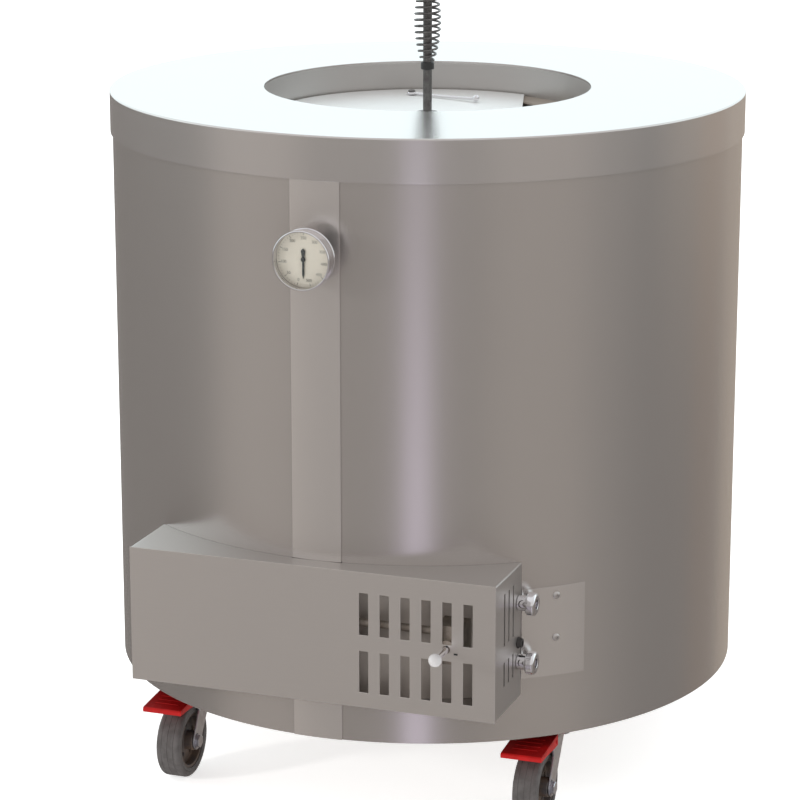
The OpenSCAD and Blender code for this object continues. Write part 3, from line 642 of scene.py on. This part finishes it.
hook_low, hook_high = BOX["lid_hook"]
ball_r = 0.0046
ball = Vector((hook_high.x - ball_r, hook_low.y + ball_r, hook_high.z - ball_r))
eye_z = LID_TOP + 0.0026
eye_r, wire_r = 0.0052, 0.0019
toward = Vector((ball.x - pivot.x, ball.y - pivot.y, 0)).normalized()
eye_at = Vector((pivot.x, pivot.y, eye_z))
eye_turns = [2 * math.pi * i / 28 for i in range(28)]
eye = [eye_at + Vector((math.cos(a), math.sin(a), 0)) * eye_r for a in eye_turns]
arm_start = eye_at + toward * eye_r
arm_end = Vector((ball.x, ball.y, ball.z - 0.001))
middle = arm_start.lerp(arm_end, 0.5)
middle.z = eye_z + 0.0002
arm = [arm_start, arm_start.lerp(middle, 0.5), middle, middle.lerp(arm_end, 0.6), arm_end]
bead = lathe("bead", [(0, -ball_r)] + arc((0, 0), ball_r, -82, 82, 14) + [(0, ball_r)], ball, steps=28)
lever = join("vent_lever", sweep("eye", eye, wire_r, 10, closed=True), sweep("arm", arm, wire_r, 12), bead)
finish_piece(lever, "chrome", "vent_hook", "lid_hook", sharp=60)

# ---------- burner box ----------

SHEET = 0.0015


def box_outline(inset, r):
    """A rounded rectangle, the box's section seen from the front."""
    x, low, high = BOX_HIGH.x - inset - r, BOX_LOW.z + inset + r, BOX_HIGH.z - inset - r
    outline = []
    for corner_at, end in (((x, high), 90), ((-x, high), 180), ((-x, low), 270), ((x, low), 0)):
        outline += arc(corner_at, r, end - 90, end, 5)
    return outline


def box_tube():
    """The folded body: an outer and an inner rounded rectangle along Y."""
    outer, inner = box_outline(0, 0.003), box_outline(SHEET, 0.0015)
    count = len(outer)
    ys = (FRONT_BACK + 0.00002, AXIS_Y - 0.300)
    vertices = [Vector((u, y, v)) for y in ys for line in (outer, inner) for u, v in line]
    faces = []
    far = 2 * count
    for k in range(count):
        after = (k + 1) % count
        faces.append([k, after, far + after, far + k])
        faces.append([count + k, far + count + k, far + count + after, count + after])
        faces.append([k, count + k, count + after, after])
        faces.append([far + k, far + after, far + count + after, far + count + k])
    return mesh_object("box_tube", vertices, faces)


def side_hole(side, y, z, r):
    """A cutting rod through the box's left (-1) or right (1) wall."""
    return rod("hole", (side * BOX_HIGH.x - 0.005, y, z), (side * BOX_HIGH.x + 0.005, y, z), r)


def side_slot(side, y, low, high):
    """A cutting block for one slit in the box's left or right wall, y in front of the drum's axis."""
    near = (side * BOX_HIGH.x - 0.005, AXIS_Y - y - SIDE_SLOT_W / 2, low)
    return block("slot", near, (side * BOX_HIGH.x + 0.005, AXIS_Y - y + SIDE_SLOT_W / 2, high))


SIDE_SLOTS_Y = (0.413, 0.395, 0.377)
SIDE_SLOT_ROWS = ((0.282, 0.350), (0.228, 0.260))
SIDE_SLOT_W = 0.005
side_knobs = [PIVOTS["box_knob_lower_turn"], PIVOTS["box_knob_upper_turn"]]
grommet = centre("side_grommet")
inlet = centre("gas_inlet")

clear_r = SHELL_R + 0.0003
strap_low = (-STRAP_HALF - 0.001, AXIS_Y - STRAP_FACE - 0.0003, 0)
tools = [
    lathe("drum_space", [(0, 0), (clear_r, 0), (clear_r, 1), (0, 1)], steps=288),
    block("strap_space", strap_low, (STRAP_HALF + 0.001, AXIS_Y, 1)),
    side_hole(1, grommet.y, grommet.z, 0.006),
    side_hole(-1, inlet.y, inlet.z, 0.009),
]
tools += [side_hole(1, place[1], place[2], 0.00705) for place in side_knobs]
for y in SIDE_SLOTS_Y:
    for low, high in SIDE_SLOT_ROWS:
        tools += [side_slot(side, y, low, high) for side in (-1, 1)]
finish_piece(cut(box_tube(), *tools), "body_steel", "oven", "box_body")

SLOT_COLUMNS, SLOT_PITCH, SLOT_FIRST, SLOT_W = 6, 0.0275, 0.0728, 0.012
SLOT_ROWS = ((0.212, 0.2665), (0.288, 0.343))
slots = []
for i in range(SLOT_COLUMNS):
    x = SLOT_FIRST + i * SLOT_PITCH
    slots += [(x - SLOT_W / 2, x + SLOT_W / 2, low, high) for low, high in SLOT_ROWS]
cover_xs, cover_zs = (BOX_LOW.x, BOX_HIGH.x), (BOX_LOW.z, BOX_HIGH.z)
on_cover = lambda u, v, w: Vector((u, FRONT_FACE + w, v))
cover = pierced_plate("slotted_cover", cover_xs, cover_zs, slots, on_cover, SHEET)
stem_ends = ((KNOB.x, FRONT_FACE - 0.01, KNOB.z), (KNOB.x, FRONT_BACK + 0.01, KNOB.z))
cover = cut(cover, rod("stem_hole", *stem_ends, 0.005))
finish_piece(soften(cover, 0.0005), "box_steel", "oven", "box_front")


def side_knob(name, node, place):
    """A chrome thumb knob with a rounded rim and a dished end."""
    r, neck, tip = 0.015, 0.010, BOX[node][1].x - BOX_HIGH.x
    outline = [(0, -0.006), (0.007, -0.006), (0.007, 0.0003), (neck - 0.0006, 0.0003)]
    outline += arc((neck - 0.0006, 0.0009), 0.0006, -90, 0, 3)
    outline += arc((neck + 0.0012, 0.0106), 0.0012, 180, 90, 4)
    outline += arc((r - 0.003, 0.0148), 0.003, -90, 0, 6)
    outline += arc((r - 0.004, tip - 0.004), 0.004, 0, 90, 8)
    outline += arc((0.0068, tip - 0.0008), 0.0008, 90, 180, 3) + [(0.006, 0.018), (0, 0.018)]
    outline = [(x, y if y < 0.012 or x < neck else max(y, 0.0118)) for x, y in outline]
    knob = lathe(name, outline, Vector((BOX_HIGH.x, place[1], place[2])), (1, 0, 0), 64)
    return finish_piece(knob, "chrome", node, node)


side_knob("thumb_knob_lower", "box_knob_lower", side_knobs[0])
side_knob("thumb_knob_upper", "box_knob_upper", side_knobs[1])

bush_outline = [(0.0032, -0.0025), (0.0059, -0.0025), (0.0059, 0.00005)]
bush_outline += arc((0.0067, 0.00085), 0.0008, -90, 90, 6)
bush_outline += arc((0.0046, 0.0052), 0.0010, 20, 90, 4) + [(0.0032, 0.0062)]
bush = lathe("bush", bush_outline, Vector((BOX_HIGH.x, grommet.y, grommet.z)), (1, 0, 0), 40)
finish_piece(bush, "black_rubber", "oven", "side_grommet")

ball_low = BOX["knob_ball"][0]
stem_front, stem_back = ball_low.y + 0.010, BOX["knob_stem"][1].y
stem = rod("valve_stem", (KNOB.x, stem_back, KNOB.z), (KNOB.x, stem_front, KNOB.z), 0.004, 40)
finish_piece(stem, "chrome", "gas_knob", "knob_stem")
knob_r, stem_bore = half_width("knob_ball"), 0.00402
tail = math.degrees(math.acos(stem_bore / knob_r))
ball_line = arc((0, 0), knob_r, 90, -tail, 30) + [(stem_bore, -0.005), (0, -0.005)]
ball_line[0] = (0, knob_r)
grip = lathe("ball_grip", ball_line, Vector((KNOB.x, ball_low.y + knob_r, KNOB.z)), (0, -1, 0), 56)
finish_piece(grip, "white_knob", "gas_knob", "knob_ball")


def mark(name, x, z, w, h):
    """A small plain position mark on the cover."""
    proud, sunk = FRONT_FACE - 0.0003, FRONT_FACE + 0.0002
    plate = block(name, (x - w / 2, proud, z - h / 2), (x + w / 2, sunk, z + h / 2))
    return finish_piece(plate, "black_plastic", "oven")


mark("mark_right", KNOB.x + 0.0125, KNOB.z - 0.005, 0.005, 0.0022)
mark("mark_above", KNOB.x + 0.001, KNOB.z + 0.0045, 0.0022, 0.0015)

# ---------- gas inlet ----------

inlet_low, inlet_high = BOX["gas_inlet"]
wall_x = -BOX_HIGH.x - 0.0001
thread_r, bore_r, hex_t = 0.0104775, 0.006, 0.009
ridge, thread_pitch = 0.0011, 0.0018
tip = wall_x - hex_t - inlet_low.x
threads = int(tip / thread_pitch) - 1
fitting = [(bore_r, 0), (thread_r - 0.0015, 0)]
for i in range(threads):
    z = 0.0008 + i * thread_pitch
    crest = (z + thread_pitch * 0.4, z + thread_pitch * 0.55)
    fitting += [(thread_r - ridge, z), (thread_r, crest[0]), (thread_r, crest[1])]
neck_r, fitting_end = 0.0088, inlet_high.x - inlet_low.x
fitting += [(thread_r - ridge, tip), (neck_r, tip), (neck_r, fitting_end), (bore_r, fitting_end)]
inlet_place = Vector((inlet_low.x, inlet.y, inlet.z))
threaded = lathe("threaded", fitting, inlet_place, (1, 0, 0), 48)
hexagon = [(0.0089, 0), (0.0112, 0), (0.012, 0.0012)]
hexagon += [(0.012, hex_t - 0.0008), (0.0114, hex_t), (0.0089, hex_t)]
flats = lathe("flats", hexagon, Vector((wall_x - hex_t, inlet.y, inlet.z)), (1, 0, 0), 6)
finish_piece(join("inlet_union", threaded, flats), "brass", "oven", "gas_inlet")

# ---------- thermometer ----------

FACE = (0, -1, 0)
bezel_r = half_width("thermo_bezel")
bezel_front = AXIS_Y - BOX["thermo_bezel"][0].y
case_r = half_width("thermo_case")
case_front, case_back = AXIS_Y - BOX["thermo_case"][0].y, AXIS_Y - BOX["thermo_case"][1].y
dial_r = half_width("thermo_dial")
dial_face = AXIS_Y - BOX["thermo_dial"][0].y

case = [(0.0035, case_back), (case_r - 0.002, case_back)]
case += arc((case_r - 0.0006, case_back + 0.0016), 0.0016, -60, 60, 6)
seat_r, seat, floor_r, floor = dial_r + 0.0001, dial_face - 0.001, dial_r - 0.003, case_back + 0.002
case += [(case_r, case_back + 0.004), (case_r, case_front), (seat_r, case_front), (seat_r, seat)]
case += [(floor_r, seat), (floor_r, floor), (0.0035, floor)]
finish_piece(lathe("dial_case", case, THERMO, FACE, 96), "chrome", "oven", "thermo_case")

ring_r, ring_back = case_r + 0.0001, case_front - 0.005
ring = [(ring_r, ring_back), (bezel_r - 0.0003, ring_back), (bezel_r, case_front - 0.0046)]
ring += arc((bezel_r - 0.0012, bezel_front - 0.0012), 0.0012, 0, 100, 6)
ring += [(bezel_r - 0.0020, bezel_front - 0.0002), (bezel_r - 0.0022, case_front + 0.0001)]
ring += [(ring_r, case_front + 0.0001)]
finish_piece(lathe("dial_rim", ring, THERMO, FACE, 96), "chrome", "oven", "thermo_bezel")

pin_bore = 0.00155
plate = [(pin_bore, seat), (dial_r, seat), (dial_r, dial_face - 0.0002)]
plate += [(dial_r - 0.0002, dial_face), (pin_bore, dial_face)]
finish_piece(lathe("dial_plate", plate, THERMO, FACE, 96), "dial", "oven", "thermo_dial")

MARKS, MARK_SWEEP = 11, 330


def on_dial(angle, r, lift=0.0):
    """A point on the dial; angle from the top, clockwise seen from the front."""
    a = math.radians(angle)
    return THERMO + Vector((r * math.sin(a), -dial_face - lift, r * math.cos(a)))


def tick(angle, r_in, r_out, w):
    """A raised line on the dial, between two radii."""
    a = math.radians(angle)
    across = Vector((math.cos(a), 0, -math.sin(a))) * w / 2
    ends = [on_dial(angle, r_in), on_dial(angle, r_out)]
    lift = Vector((0, -0.00015, 0))
    flat = [ends[0] - across, ends[0] + across, ends[1] + across, ends[1] - across]
    vertices = flat + [p + lift for p in flat]
    faces = [[0, 1, 2, 3], [7, 6, 5, 4], [0, 4, 5, 1], [1, 5, 6, 2], [2, 6, 7, 3], [3, 7, 4, 0]]
    return mesh_object("tick", vertices, faces)


def number(text, angle, r, size):
    """A scale figure as a thin raised print."""
    curve = bpy.data.curves.new("figure", "FONT")
    curve.body, curve.size, curve.extrude = text, size, 0.00008
    curve.align_x, curve.align_y = "CENTER", "CENTER"
    holder = placed("figure", curve)
    mesh = bpy.data.meshes.new_from_object(holder.evaluated_get(bpy.context.evaluated_depsgraph_get()))
    bpy.data.objects.remove(holder)
    mesh.transform(Matrix.Translation(on_dial(angle, r, 0.0001)) @ Matrix.Rotation(math.pi / 2, 4, "X"))
    return placed("figure", mesh)


prints = []
for i in range(MARKS):
    angle = -MARK_SWEEP / 2 + i * MARK_SWEEP / (MARKS - 1)
    prints.append(tick(angle, dial_r - 0.0052, dial_r - 0.0018, 0.0007))
    prints.append(number(str(i * 50), angle, dial_r * 0.745, 0.0052))
for i in range((MARKS - 1) * 5):
    if i % 5:
        angle = -MARK_SWEEP / 2 + i * MARK_SWEEP / ((MARKS - 1) * 5)
        prints.append(tick(angle, dial_r - 0.0038, dial_r - 0.0018, 0.0003))
finish_piece(join("dial_print", *prints), "print_ink", "oven")

glass_r, glass_back, glass_front = dial_r - 0.0002, bezel_front - 0.0058, bezel_front - 0.0045
pane = [(0, glass_back), (glass_r, glass_back), (glass_r, glass_front), (0, glass_front)]
finish_piece(lathe("dial_glass", pane, THERMO, FACE, 96), "glass", "oven", "thermo_glass")

needle_low, needle_high = BOX["thermo_pointer"]
needle_tail, needle_tip = needle_high.z - THERMO.z, needle_low.z - THERMO.z
level = dial_face + 0.0012
half = 0.0012


def needle_place(u, v, w):
    return THERMO + Vector((u, -level - w, v))


shape = [(-half, 0), (-half * 1.2, -0.018), (0, needle_tip), (half * 1.2, -0.018), (half, 0)]
shape += [(half * 2.4, needle_tail - 0.003), (0, needle_tail), (-half * 2.4, needle_tail - 0.003)]
blade = soften(prism("blade", shape, needle_place, 0.0008), 0.00015)
boss = rod("boss", needle_place(0, 0, 0), needle_place(0, 0, 0.0014), 0.003, 32, 0.0004)
pin_rod = rod("pin", (0, needle_high.y, THERMO.z), needle_place(0, 0, 0.001), 0.0015, 24, 0.0002)
needle = join("dial_needle", blade, boss, pin_rod)
finish_piece(needle, "black_plastic", "needle", "thermo_pointer")

# ---------- castors ----------

WHEEL_R = (BOX["tyre_fl"][1].z - BOX["tyre_fl"][0].z) / 2
WHEEL_HALF = half_width("tyre_fl")
LEG_IN, LEG_T = 0.0205, 0.0025
AXLE_R, BOSS_R = 0.006, 0.012
YOKE_TOP = BOX["fork_fl"][1].z - 0.012


def tangent(point, about, r, side):
    """Where a line from a point touches a circle."""
    d = Vector(about) - Vector(point)
    turn = math.atan2(d.y, d.x) + side * math.asin(r / d.length)
    reach = math.sqrt(d.length**2 - r * r)
    return (point[0] + reach * math.cos(turn), point[1] + reach * math.sin(turn))


def leg_outline(hub_at, ear):
    """A fork leg from the side: from the yoke down to the axle boss, with an ear for the pedal's pin."""
    hub = (hub_at.y, hub_at.z)
    rear, front = (0.022, YOKE_TOP), (-0.026, YOKE_TOP)
    lean = math.degrees(math.atan2(rear[1] - hub[1], rear[0] - hub[0]))
    touch_rear, touch_front = tangent(rear, hub, BOSS_R, 1), tangent(front, hub, BOSS_R, -1)
    start = math.degrees(math.atan2(touch_front[1] - hub[1], touch_front[0] - hub[0]))
    end = math.degrees(math.atan2(touch_rear[1] - hub[1], touch_rear[0] - hub[0]))
    if end < start:
        end += 360
    lower_ear = (-0.030, 0.090)
    outline = [rear, (-0.022, YOKE_TOP)]
    outline += arc(ear, 0.005, 60, 250, 10)
    outline += [lower_ear, touch_front] + arc(hub, BOSS_R, start, end, 20)[1:]
    return outline if lean > 0 else outline[::-1]


def fork(corner):
    pivot_at = PIVOTS[f"swivel_{corner}"]
    hub_at = PIVOTS[f"roll_{corner}"] - pivot_at
    hub_at.z = WHEEL_R
    pedal_pin = PIVOTS[f"brake_press_{corner}"]
    place = Vector((pivot_at.x, pivot_at.y, 0))
    outline = leg_outline(hub_at, (pedal_pin.y - pivot_at.y, pedal_pin.z))
    legs = []
    for x in (-LEG_IN - LEG_T, LEG_IN):
        leg = prism("leg", outline, lambda u, v, w, x=x: place + Vector((x + w, u, v)), LEG_T)
        legs.append(soften(leg, 0.0005))
    half, bend, fillet, yoke_low = LEG_IN + LEG_T, 0.0045, 0.002, YOKE_TOP - 0.006
    section = arc((-half + bend, YOKE_TOP - bend), bend, 180, 90, 5)
    section += arc((half - bend, YOKE_TOP - bend), bend, 90, 0, 5) + [(half, yoke_low), (LEG_IN, yoke_low)]
    section += arc((LEG_IN - fillet, YOKE_TOP - bend), fillet, 0, 90, 3)
    section += arc((-LEG_IN + fillet, YOKE_TOP - bend), fillet, 90, 180, 3)
    section += [(-LEG_IN, yoke_low), (-half, yoke_low)]
    yoke = prism("yoke", section, lambda u, v, w: place + Vector((u, -0.025 + w, v)), 0.047)
    king_top, chamfer = BOX[f"fork_{corner}"][1].z, 0.0006
    race = [(0, YOKE_TOP - 0.0005), (0.020, YOKE_TOP - 0.0005), (0.020, YOKE_TOP + 0.0001)]
    race += [(0.0085, YOKE_TOP + 0.0002), (AXLE_R, YOKE_TOP + 0.0006)]
    race += [(AXLE_R, king_top - chamfer), (AXLE_R - chamfer, king_top), (0, king_top)]
    king = lathe("king", race, place, steps=48)
    whole = join(f"castor_fork_{corner}", soften(yoke, 0.0004), *legs, king)
    finish_piece(whole, "zinc", f"castor_{corner}", f"fork_{corner}")


def axle_bolt(corner):
    """The axle with a chamfered hexagon head and nut and a washer against each leg."""
    at = PIVOTS[f"roll_{corner}"]
    half = LEG_IN + LEG_T
    shaft = rod("shaft", at - Vector((half + 0.001, 0, 0)), at + Vector((half + 0.001, 0, 0)), AXLE_R, 40)
    heads = []
    for side in (-1, 1):
        place = at + Vector((side * (half + 0.00005), 0, 0))
        washer = [(0, 0), (0.0105, 0), (0.0105, 0.0012), (0, 0.0012)]
        hexagon = [(0, 0.0012), (0.009, 0.0012), (0.009, 0.0042), (0.0080, 0.005), (0, 0.005)]
        heads.append(lathe("washer", washer, place, (side, 0, 0), 36))
        heads.append(lathe("hexagon", hexagon, place, (side, 0, 0), 6))
    whole = join(f"axle_bolt_{corner}", shaft, *heads)
    finish_piece(whole, "zinc", f"castor_{corner}", f"axle_{corner}", sharp=25)


def wheel_centre(corner):
    """A moulded centre: boss, web with five round pockets, and a rim under the tyre."""
    at = PIVOTS[f"roll_{corner}"]
    rim, half = WHEEL_R - 0.0121, WHEEL_HALF
    bore, boss = AXLE_R + 0.00005, 0.013
    side = [(boss - 0.0010, LEG_IN - 0.0005), (boss, LEG_IN - 0.0015)]
    side += arc((boss + 0.002, 0.0092), 0.002, 180, 270, 4) + arc((rim - 0.0075, 0.0070), 0.0020, 270, 350, 4)
    side += [(rim - 0.0042, half - 0.0026), (rim - 0.0036, half - 0.002), (rim, half - 0.002)]
    outline = [(bore, LEG_IN - 0.0005)] + side + [(x, -y) for x, y in side[::-1]] + [(bore, -LEG_IN + 0.0005)]
    centre_piece = lathe("centre", outline, at, (1, 0, 0), 80)
    pockets = []
    for i in range(5):
        a = 2 * math.pi * i / 5
        place = at + Vector((0, 0.023 * math.sin(a), 0.023 * math.cos(a)))
        pockets.append(rod("pocket", place - Vector((0.02, 0, 0)), place + Vector((0.02, 0, 0)), 0.005, 28))
    centre_piece = cut(centre_piece, *pockets)
    centre_piece.name = f"wheel_centre_{corner}"
    finish_piece(centre_piece, "wheel_centre", f"wheel_{corner}", f"hub_{corner}")


def tyre(corner):
    """A rubber tread with rounded shoulders, side beads and fine moulding grooves."""
    at = PIVOTS[f"roll_{corner}"]
    inner, half, shoulder = WHEEL_R - 0.012, WHEEL_HALF, 0.0055
    crown = arc((WHEEL_R - shoulder, half - shoulder), shoulder, 0, 90, 8)
    wall = [(inner + 0.0050, half), (inner + 0.0046, half - 0.0005), (inner + 0.0042, half)]
    wall += [(inner + 0.002, half), (inner, half - 0.001)]
    half_outline, groove_r = crown + wall, WHEEL_R - 0.0004
    outline = [(x, -y) for x, y in half_outline[::-1]]
    for y in (-0.0085, 0, 0.0085):
        outline += [(WHEEL_R, y - 0.0006), (groove_r, y - 0.0002)]
        outline += [(groove_r, y + 0.0002), (WHEEL_R, y + 0.0006)]
    outline += half_outline
    piece = lathe(f"tread_{corner}", outline, at, (1, 0, 0), 112)
    finish_piece(piece, "grey_tyre", f"wheel_{corner}", f"tyre_{corner}")


def pedal(corner):
    """The brake pedal: a sloping tread plate with a turned-down lip, side cheeks, a shoe and its pin."""
    hinge = PIVOTS[f"brake_press_{corner}"]
    place = Vector((hinge.x, PIVOTS[f"swivel_{corner}"][1], 0))
    ear = (hinge.y - place.y, hinge.z)
    half, t = 0.0275, 0.0025
    rear, rear_z, front, lip_z = -0.028, 0.121, -0.100, 0.115
    lip_y, lip_low = front - 0.002, lip_z - 0.007
    tread = [(rear, rear_z)] + arc((front + 0.001, lip_z - 0.0035), 0.0035, 95, 168, 5)
    tread += [(lip_y, lip_low), (lip_y + t, lip_low), (front + t, lip_z - t), (rear, rear_z - t)]

    def across(x):
        return lambda u, v, w: place + Vector((x + w, u, v))

    parts = [soften(prism("tread_plate", tread, across(-half), 2 * half), 0.0006)]
    cheek = [(rear, rear_z - 0.001), (front + 0.001, lip_z - 0.001), (front, lip_low)]
    cheek += [(front + 0.025, lip_low), (-0.044, 0.106), (rear, 0.106)]
    parts += [soften(prism("cheek", cheek, across(x), t), 0.0005) for x in (-half, half - t)]
    shoe = (place + Vector((-0.012, -0.054, 0.103)), place + Vector((0.012, -0.042, 0.118)))
    parts.append(soften(block("shoe", *shoe), 0.0008))
    for i in range(4):
        y = front + 0.016 + i * 0.011
        z = lip_z + (rear_z - lip_z) * (y - front) / (rear - front) - 0.0004
        rib_ends = [place + Vector((x, y, z)) for x in (-0.017, 0.017)]
        parts.append(rod("rib", *rib_ends, 0.0009, 12, 0.0004))
    pin_ends = [place + Vector((side * (half + 0.001), *ear)) for side in (-1, 1)]
    parts.append(rod("pin", *pin_ends, 0.0025, 24))
    whole = join(f"brake_pedal_{corner}", *parts)
    finish_piece(whole, "red_pedal", f"brake_{corner}", f"pedal_{corner}")
    # The upward tread faces take the darker red, painted shade as if shaded by the drum above.
    whole.data.materials.append(MATERIALS["red_pedal_top_painted_shade"])
    for face in whole.data.polygons:
        if face.normal.z > 0.9 and face.center.z > lip_z - 0.004:
            face.material_index = 1


for corner in CORNERS:
    fork(corner)
    axle_bolt(corner)
    wheel_centre(corner)
    tyre(corner)
    pedal(corner)

# ---------- CAD nodes that keep their own shape ----------

for node, material in {
    "base_plate": "satin_steel",
    "insulation": "insulation",
    "hearth_slab": "firebrick",
    "burner_tunnel": "inner_steel",
    "burner_pipe": "burner_iron",
    "burner_ring": "burner_iron",
    "flame_deflector": "burner_iron",
    "flame_probe": "white_ceramic",
    "injector_tube": "dull_bronze",
    "gas_tube": "dull_bronze",
    "gas_valve": "dull_bronze",
    "thermo_stem": "chrome",
    "castor_plates": "zinc",
    "castor_bolts": "zinc",
}.items():
    for slot in frame["nodes"][node].material_slots:
        slot.material = MATERIALS[material]

# ---------- floor, light and camera ----------

CAMERA_SIDE = math.radians(19.1)
TOWARD_CAMERA = Vector((math.sin(CAMERA_SIDE), -math.cos(CAMERA_SIDE), 0))


def pale_floor():
    half = 30
    corners = [(-half, -half, 0), (half, -half, 0), (half, half, 0), (-half, half, 0)]
    floor = mesh_object("floor", [Vector(c) for c in corners], [[0, 1, 2, 3]])
    tree, shader = node_tree("floor")
    shade = blend_colours(tree, pattern(tree, 0.7, detail=3), (0.90, 0.90, 0.895), (0.93, 0.93, 0.925))
    feed(tree, shader, Base_Color=shade, Roughness=0.95, Specular_IOR_Level=0)
    feed(tree, shader, Emission_Color=(1, 1, 1, 1), Emission_Strength=0.6)
    floor.data.materials.append(MATERIALS["floor"])
    floor.visible_glossy = False


class Sky:
    """The studio as a world shader: tones by direction, below, in front of, behind and above the object."""

    def __init__(self):
        world = bpy.data.worlds.new("studio")
        bpy.context.scene.world = world
        world.use_nodes = True
        self.tree = world.node_tree
        self.output = self.tree.nodes["Background"]
        way = helper_node(self.tree, "TexCoord").outputs["Generated"]
        self.height = helper_node(self.tree, "SeparateXYZ", Vector=way).outputs["Z"]
        flat = self.vector("MULTIPLY", way, (1, 1, 0)).outputs["Vector"]
        self.level = self.vector("NORMALIZE", flat).outputs["Vector"]

    def vector(self, operation, value, other=None):
        node = helper_node(self.tree, "VectorMath")
        node.operation = operation
        self.tree.links.new(value, node.inputs[0])
        if other is not None:
            node.inputs[1].default_value = other
        return node

    def product(self, first, second):
        node = helper_node(self.tree, "Math")
        node.operation = "MULTIPLY"
        self.tree.links.new(first, node.inputs[0])
        self.tree.links.new(second, node.inputs[1])
        return node.outputs["Value"]

    def toward(self, angle, inner, outer):
        """1 within inner degrees of an angle, 0 beyond outer; the angle runs right from the camera's side."""
        a = CAMERA_SIDE + math.radians(angle)
        way = (math.sin(a), -math.cos(a), 0)
        along = self.vector("DOT_PRODUCT", self.level, way).outputs["Value"]
        return remap(self.tree, along, 0, 1, math.cos(math.radians(outer)), math.cos(math.radians(inner)))

    def above(self, start, end, low=0, high=1):
        """low below start degrees of elevation, high above end."""
        start, end = math.sin(math.radians(start)), math.sin(math.radians(end))
        return remap(self.tree, self.height, low, high, start, end)

    def layer(self, colour, factor, light, blend="ADD"):
        """The colour so far with light added to it or taken away, as far as the factor says."""
        scaled = helper_node(self.tree, "Mix")
        scaled.data_type, scaled.blend_type, scaled.clamp_result = "RGBA", blend, False
        return feed(self.tree, scaled, Factor=factor, A=colour, B=(*light, 1)).outputs["Result"]


LOW_TONE = (0.292, 0.270, 0.253)
# Bands in the room below eye level: angle from the camera's side, inner and outer half width, colour.
BANDS = (
    (-64, 3, 26, (0.12, 0.11, 0.10)),
    (41, 4, 26, (0.10, 0.09, 0.08)),
    (124, 3, 14, (0.05, 0.02, 0.0)),
    (160, 4, 30, (0.16, 0.115, 0.07)),
)
DARK_BANDS = ((106, 10, 40, (0.09, 0.085, 0.08)), (-125, 12, 56, (0.12, 0.115, 0.11)))
GLINT = (-3.5, 0.3, 6.6, (0.92, 0.87, 1.14))
EYE_LEVEL_BAND = (118, 6, 34, (0.17, 0.135, 0.10))


def studio_sky():
    sky = Sky()
    front, back = (0.75, 0.74, 0.73), (1.30, 1.46, 1.50)
    behind = sky.toward(180, 70, 125)
    upper = blend_colours(sky.tree, behind, front, back)
    upper = blend_colours(sky.tree, sky.above(25, 60), upper, (0.85, 0.85, 0.86))
    steady = sky.tree.nodes.new("ShaderNodeRGB")
    steady.outputs[0].default_value = (*LOW_TONE, 1)
    low = steady.outputs[0]
    for angle, inner, outer, light in BANDS:
        low = sky.layer(low, sky.toward(angle, inner, outer), light)
    for angle, inner, outer, light in DARK_BANDS:
        low = sky.layer(low, sky.toward(angle, inner, outer), light, "SUBTRACT")
    # One band shows only near eye level, and the narrow glint fades towards it.
    for (angle, inner, outer, light), height in (
        (EYE_LEVEL_BAND, sky.above(-15, -9)),
        (GLINT, sky.above(-19, -9, 1, 0.2)),
    ):
        low = sky.layer(low, sky.product(sky.toward(angle, inner, outer), height), light)
    whole = blend_colours(sky.tree, sky.above(-6, 0.5), low, upper)
    sky.tree.links.new(whole, sky.output.inputs["Color"])


def soft_light(name, place, aim, size, power, colour):
    lamp = bpy.data.lights.new(name, "AREA")
    lamp.shape, lamp.size, lamp.energy, lamp.color = "DISK", size, power, colour
    obj = placed(name, lamp)
    obj.location = place
    obj.rotation_mode = "QUATERNION"
    obj.rotation_quaternion = (aim - place).to_track_quat("-Z", "Y")
    obj.visible_glossy = False
    obj.visible_camera = False


def photo_camera():
    distance, height, pitch, yaw = 4.068, 1.542, math.radians(14.70), math.radians(0.519)
    data = bpy.data.cameras.new("camera")
    data.lens, data.sensor_width = 137.36, 36
    data.clip_end = 200
    camera = placed("camera", data)
    camera.location = AXIS + TOWARD_CAMERA * distance + Vector((0, 0, height))
    heading = CAMERA_SIDE + yaw
    level = math.cos(pitch)
    forward = Vector((-math.sin(heading) * level, math.cos(heading) * level, -math.sin(pitch)))
    camera.rotation_mode = "QUATERNION"
    camera.rotation_quaternion = forward.to_track_quat("-Z", "Y")
    bpy.context.scene.camera = camera


pale_floor()
studio_sky()
key_place, key_aim = AXIS + Vector((-3.2, -3.3, 1.55)), AXIS + Vector((0, -0.4, 0.6))
soft_light("key", key_place, key_aim, 0.5, 66, (1.0, 0.98, 0.96))
photo_camera()
bpy.context.scene.view_settings.view_transform = "Standard"
